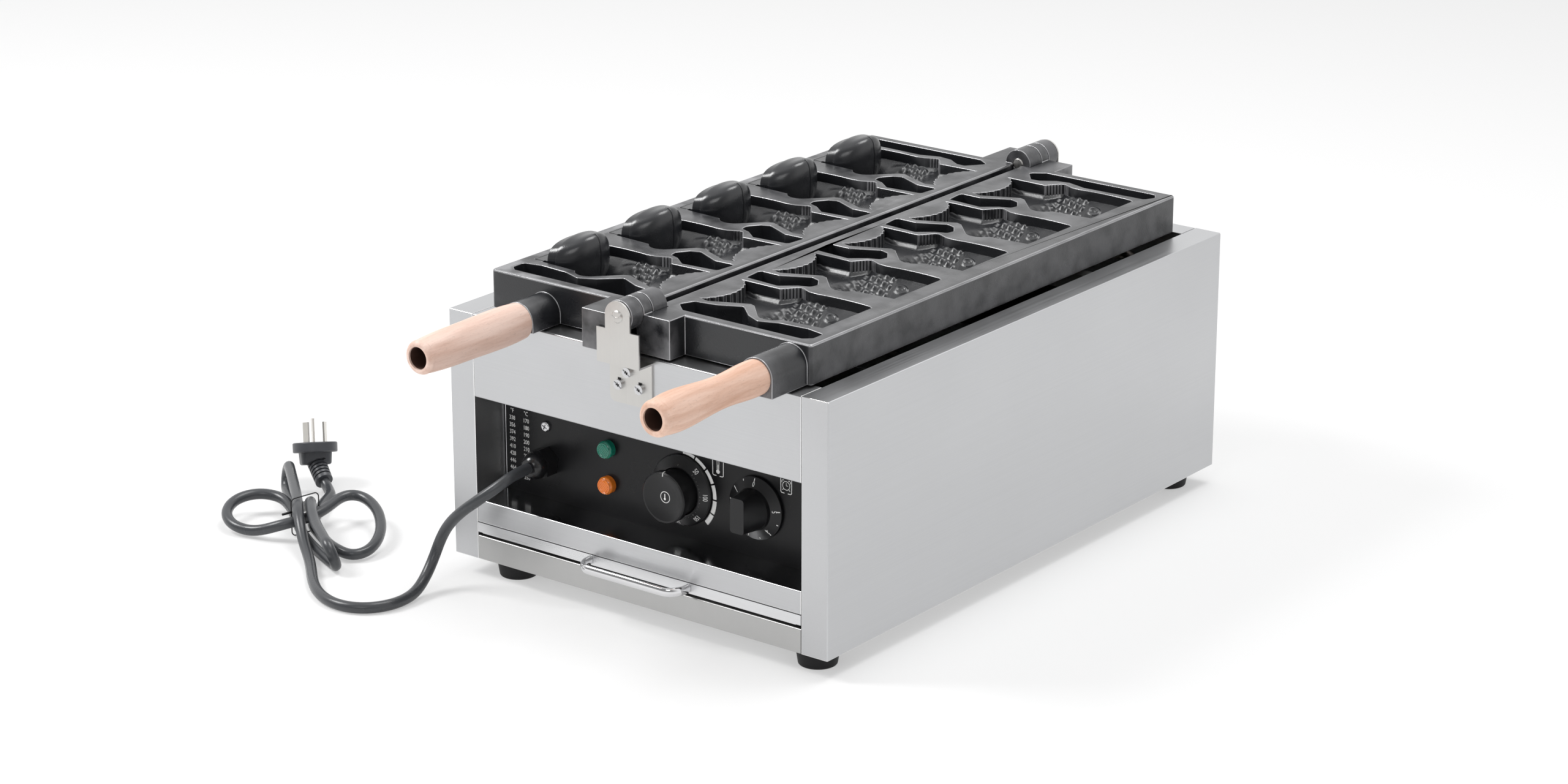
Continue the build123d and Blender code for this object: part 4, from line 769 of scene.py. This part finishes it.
def flutes(name, side, middle):
    """Upright rounded ribs along the wall behind the dorsal fin."""
    spots = []
    for (u0, v0), (u1, v1) in zip(flute_line, flute_line[1:]):
        count = max(1, round(math.hypot(u1 - u0, v1 - v0) / 2.7))
        spots += [(u0 + (u1 - u0) * n / count, v0 + (v1 - v0) * n / count) for n in range(count)]
    ribs = []
    for u, v in spots:
        bpy.ops.mesh.primitive_cylinder_add(
            vertices=12, radius=flute_r / 1000, depth=flute_low / 1000,
            location=(side * u / 1000, middle + v / 1000, mould_top - (0.7 + flute_low / 2) / 1000),
        )
        ribs.append(settle(bpy.context.object))
    obj = join(ribs, name)
    pick(obj)
    bpy.ops.object.shade_smooth_by_angle(angle=math.radians(50))
    return obj


for side, body in ((-1, "left_mould"), (1, "right_mould")):
    for kind, make in (("fish", relief), ("fin", flutes)):
        first = make(f"{body}_{kind}_1", side, fish_y[0])
        dress(first, cast_coat, body)
        for n, y in enumerate(fish_y[1:], 2):
            dress(copy_along(first, f"{body}_{kind}_{n}", y - fish_y[0]), cast_coat, body)


# ---------------------------------------------------------------- thin lines and prints
def line_mesh(name, strands, width, closed=False):
    """Round strands through points given in millimetres, as one mesh."""
    curve = bpy.data.curves.new(name, "CURVE")
    curve.dimensions = "3D"
    curve.bevel_depth = width / 2000
    curve.bevel_resolution = 2
    curve.use_fill_caps = not closed
    for points in strands:
        strand = curve.splines.new("POLY")
        strand.points.add(len(points) - 1)
        for spot, place in zip(strand.points, points):
            spot.co = (*mm(*place), 1)
        strand.use_cyclic_u = closed
    obj = bpy.data.objects.new(name, curve)
    scene.collection.objects.link(obj)
    pick(obj)
    bpy.ops.object.convert(target="MESH")
    obj = named(name)
    bpy.ops.object.shade_smooth()
    return obj


def press_flat(obj, y, height=0.12):
    """Flattens strands onto a face that looks to the front."""
    obj.data.transform(
        Matrix.Translation((0, y, 0)) @ Matrix.Diagonal((1, height, 1, 1)) @ Matrix.Translation((0, -y, 0))
    )
    return obj


def arc(x, z, radius, first, last, count, y=0.0):
    """Points round a centre, angles clockwise from the top as seen from the front."""
    spots = []
    for n in range(count + 1):
        angle = math.radians(first + (last - first) * n / count)
        spots.append((x + radius * math.sin(angle), y, z + radius * math.cos(angle)))
    return spots


def numerals(label, x, z, height, turn=0.0):
    """Plain digits that face the front, lightly raised, turned clockwise by an angle."""
    bpy.ops.object.select_all(action="DESELECT")
    bpy.ops.object.text_add()
    text = bpy.context.object
    text.data.body = label
    text.data.size = height / 1000 / 0.70
    text.data.align_x = "CENTER"
    text.data.align_y = "CENTER"
    text.data.extrude = 0.00006
    text.data.resolution_u = 3
    bpy.ops.object.convert(target="MESH")
    obj = bpy.context.object
    obj.scale = (0.82, 1, 1)
    settle(obj)
    obj.rotation_euler = (math.radians(90), math.radians(turn), 0)
    obj.location = (x / 1000, 0, z / 1000)
    return settle(obj)


def lay_on(obj, x, z, profile, plane):
    """Moves a flat print onto a turned face given by radius and height in millimetres."""
    for vert in obj.data.vertices:
        r = math.hypot(vert.co.x * 1000 - x, vert.co.z * 1000 - z)
        (r0, h0), (r1, h1) = profile
        share = max(0, min(1, (r - r0) / (r1 - r0)))
        vert.co.y += plane - (h0 + (h1 - h0) * share) / 1000
    return obj


def slide(obj, y):
    obj.data.transform(Matrix.Translation((0, y, 0)))
    return obj


lift = 0.00005              # prints stand this far out of what carries them
panel_mm = panel_y * 1000
case_low = bottom * 1000
prints = []
for x, labels in (
    (-152.7, ("\u00b0F", *(str(f) for f in range(338, 483, 18)))),
    (-138.4, ("\u00b0C", *(str(c) for c in range(170, 251, 10)))),
):
    for n, label in enumerate(labels):
        prints.append(slide(numerals(label, x, case_low + 116.2 - 5.93 * n, 3.5), panel_y - lift))

# segmented band beside the dial, wider towards its end
band_x, band_z, band_r = 19.7, case_low + 88.2, 31.4
band_marks = (0, 23, 46, 69, 92, 114, 134)
for n, (first, last) in enumerate(zip(band_marks, band_marks[1:])):
    width = 2.7 + 0.35 * n
    strand = arc(band_x, band_z, band_r, first + 1.2, last - 1.2, 8, panel_mm)
    prints.append(press_flat(line_mesh("band", [strand], width), panel_y))

# small framed signs: a thermometer and a clock
for x, z in ((54.4, case_low + 113.8), (119.6, case_low + 114.4)):
    frame_line = [(x - 5.2, panel_mm, z + 7), *arc(x - 3.7, z - 4.6, 1.5, 270, 180, 4, panel_mm)[1:],
                  (x - 1.6, panel_mm, z - 6.1)]
    other = [(2 * x - a, b, c) for a, b, c in frame_line]
    prints.append(press_flat(line_mesh("sign_frame", [frame_line, other], 0.7), panel_y))
x, z = 54.4, case_low + 113.8
prints.append(press_flat(line_mesh("bulb", [arc(x, z - 2.6, 0.9, 0, 360, 12, panel_mm)], 1.9), panel_y))
prints.append(press_flat(line_mesh("stem", [
    [(x - 0.9, panel_mm, z - 0.8), (x - 0.9, panel_mm, z + 6)],
    [(x + 0.9, panel_mm, z - 0.8), (x + 0.9, panel_mm, z + 6)],
    [(x, panel_mm, z - 1), (x, panel_mm, z + 3)],
], 0.5), panel_y))
x, z = 119.6, case_low + 114.4
prints.append(press_flat(line_mesh("clock", [
    arc(x, z, 3.4, 0, 360, 28, panel_mm),
    [(x, panel_mm, z + 2.2), (x, panel_mm, z), (x + 1.5, panel_mm, z)],
    [(x - 2.6, panel_mm, z - 2.6), (x - 3.5, panel_mm, z - 3.9)],
    [(x + 2.6, panel_mm, z - 2.6), (x + 3.5, panel_mm, z - 3.9)],
    arc(x - 2.8, z + 3.0, 1.3, 230, 400, 6, panel_mm), arc(x + 2.8, z + 3.0, 1.3, -40, 130, 6, panel_mm),
], 0.5), panel_y))
dress(join(prints, "panel_print"), print_white, "case")

# steel strand along the panel's edge, beside the left post: a painted highlight of that edge
edge = line_mesh("panel_edge_highlight", [[(-159.3, panel_mm - 0.3, case_low + 51), (-159.3, panel_mm - 0.3, case_low + 135)]], 0.9)
dress(edge, screw_steel, "case")

# temperature dial: numerals, dots and a tick on the knob
dial_x, dial_z = thermostat[0] * 1000, thermostat[1] * 1000
dial_face = ((20.2, 6.5), (27.7, 2.8))
marks = []
for label, turn in (("50", 40), ("100", 90), ("150", 138), ("200", 186), ("250", 234), ("300", 283)):
    angle = math.radians(turn)
    marks.append(numerals(label, dial_x + 24.9 * math.sin(angle), dial_z + 24.9 * math.cos(angle), 3.5, turn))
dots = [arc(dial_x, dial_z, 21.4, turn, turn + 0.1, 1) for turn in range(40, 284, 8)]
marks.append(press_flat(line_mesh("dots", dots, 0.75), 0.0))
marks.append(press_flat(line_mesh("main_dots", [
    arc(dial_x, dial_z, 21.5, turn, turn + 0.1, 1) for turn in (0, 40, 90, 138, 186, 234, 283)
], 1.5), 0.0))
dial_print = lay_on(join(marks, "dial_print"), dial_x, dial_z, dial_face, panel_y - lift)
dress(dial_print, print_white, "case")

knob_face = panel_mm - 24.5
cap = []
cap.append(press_flat(line_mesh("cap_ring", [arc(dial_x, dial_z, 4.4, 0, 360, 32, knob_face + 2.9)], 0.6), (knob_face + 2.9) / 1000))
cap.append(press_flat(line_mesh("cap_sign", [
    arc(dial_x - 0.3, dial_z - 1.5, 0.55, 0, 360, 10, knob_face + 2.9),
    [(dial_x - 0.3, knob_face + 2.9, dial_z - 1.2), (dial_x - 0.3, knob_face + 2.9, dial_z + 2.6)],
], 1.0), (knob_face + 2.9) / 1000))
cap.append(line_mesh("cap_tick", [[
    (dial_x, knob_face - 0.02, dial_z + 17.6), (dial_x, knob_face + 0.2, dial_z + 19.3),
    (dial_x, knob_face + 1.0, dial_z + 20.5), (dial_x, knob_face + 3.0, dial_z + 20.6),
]], 0.8))
dress(join(cap, "knob_print"), print_white, "temperature_knob")

# timer: figures and ticks on its skirt
timer_mm_x, timer_mm_z = timer[0] * 1000, timer[1] * 1000
skirt_face = ((16.8, 5.6), (25.0, 2.4))
marks = []
for n, label in enumerate("012345"):
    turn = 360 - 55 * n
    angle = math.radians(turn)
    marks.append(numerals(label, timer_mm_x + 19.6 * math.sin(angle), timer_mm_z + 19.6 * math.cos(angle), 3.6, turn))
ticks = []
for half in range(11):
    angle = math.radians(360 - 27.5 * half)
    inner, outer = (21.6, 24.0) if half % 2 == 0 else (22.6, 24.0)
    ticks.append([(timer_mm_x + r * math.sin(angle), 0, timer_mm_z + r * math.cos(angle)) for r in (inner, outer)])
marks.append(press_flat(line_mesh("ticks", ticks, 0.8), 0.0))
timer_print = lay_on(join(marks, "timer_print"), timer_mm_x, timer_mm_z, skirt_face, panel_y - lift)
dress(timer_print, print_white, "timer_knob")

# ---------------------------------------------------------------- lamp lenses, bracket, core lines
lamp_x, lamp_r = -54.0, 7.2
lamp_face = panel_mm - 7.0
for name, z, material, slot in (
    ("power_lens_ribs", case_low + 106.0, lens_green, "green_lens"),
    ("heat_lens_ribs", case_low + 76.5, lens_amber, "amber_lens"),
):
    ribs = [arc(lamp_x, z, lamp_r - 1.6, 0, 360, 32, lamp_face + 0.5)]
    for offset in (-3.2, -1.6, 0.0, 1.6, 3.2):
        half = math.sqrt(4.6 ** 2 - offset ** 2)
        ribs.append([
            (lamp_x + (a * half + offset) * 0.7071, lamp_face, z + (offset - a * half) * 0.7071)
            for a in (-1, 1)
        ])
    dress(press_flat(line_mesh(name, ribs, 1.1), lamp_face / 1000, 0.7), material, "case")

bracket_face = (front - 0.0015) * 1000
# flat dark strokes above the bracket screws: painted shade of the slots they sit in
slot_shade = [
    [(x, bracket_face, case_low + z + 2.2), (x, bracket_face, case_low + z + 5.2)]
    for x, z in ((-2.6, 188.9), (-11.2, 177.8), (9.1, 177.7))
]
dress(press_flat(line_mesh("bracket_slot_shade", slot_shade, 3.4), bracket_face / 1000, 0.04), knob_black, "case")


def cross(x, y, z, reach=1.6):
    """Recess of a cross-head screw, as two crossed strands, shown dark as painted shade."""
    return [[(x - reach, y, z - 0.3), (x + reach, y, z + 0.3)], [(x - 0.3, y, z + reach), (x + 0.3, y, z - reach)]]


def front_of(name):
    return 1000 * min(vert.co.y for vert in nodes[name].data.vertices)


screw_face = front_of("bracket_screws")
# dark crosses on the bracket screws: painted shade in their recesses
recesses = [line for x, z in ((-2.6, 188.9), (-11.2, 177.8), (9.1, 177.7))
            for line in cross(x, screw_face, case_low + z)]
dress(press_flat(line_mesh("bracket_recess_shade", recesses, 0.9), screw_face / 1000, 0.1), knob_black, "case")
pin_face = (front - 0.0175) * 1000
weld = line_mesh("pin_weld", [[(-4.4, pin_face, axis_z * 1000 + 0.6), (-1.5, pin_face, axis_z * 1000 - 0.8),
                               (1.8, pin_face, axis_z * 1000 - 0.4), (4.3, pin_face, axis_z * 1000 + 1.2)]], 1.3)
dress(press_flat(weld, pin_face / 1000, 0.4), bracket_steel, "case")


core_ridge, core_nose = 126.3, 102.0     # from the hinge axis, in mm
core_half_h, core_swell, core_bluntness = 17.0, 4.5, 9.0


def nose_line(y):
    """Parting line over a core's nose, in its upright middle plane."""
    upper = []
    for n in range(13):
        t = 0.62 + 0.379 * math.sin(math.radians(90) * n / 12)
        high = (core_half_h + core_swell * t) * math.sqrt(1 - t ** core_bluntness)
        upper.append((-(core_ridge - (core_ridge - core_nose) * t), y * 1000, axis_z * 1000 + high))
    lower = [(x, yy, 2 * axis_z * 1000 - z) for x, yy, z in reversed(upper)]
    return upper + lower


def seat_line(y):
    """Joint round a core's seat on the mould's face."""
    z = mould_top * 1000
    return [(-137, y * 1000 - 29, z), (-145.5, y * 1000 - 29, z), (-145.5, y * 1000 + 29, z), (-137, y * 1000 + 29, z)]


dress(line_mesh("core_noses", [nose_line(y) for y in fish_y], 1.5), core_coat, "left_mould")
seams = line_mesh("core_seams", [seat_line(y) for y in fish_y], 0.4)
dress(seams, knob_black, "left_mould")
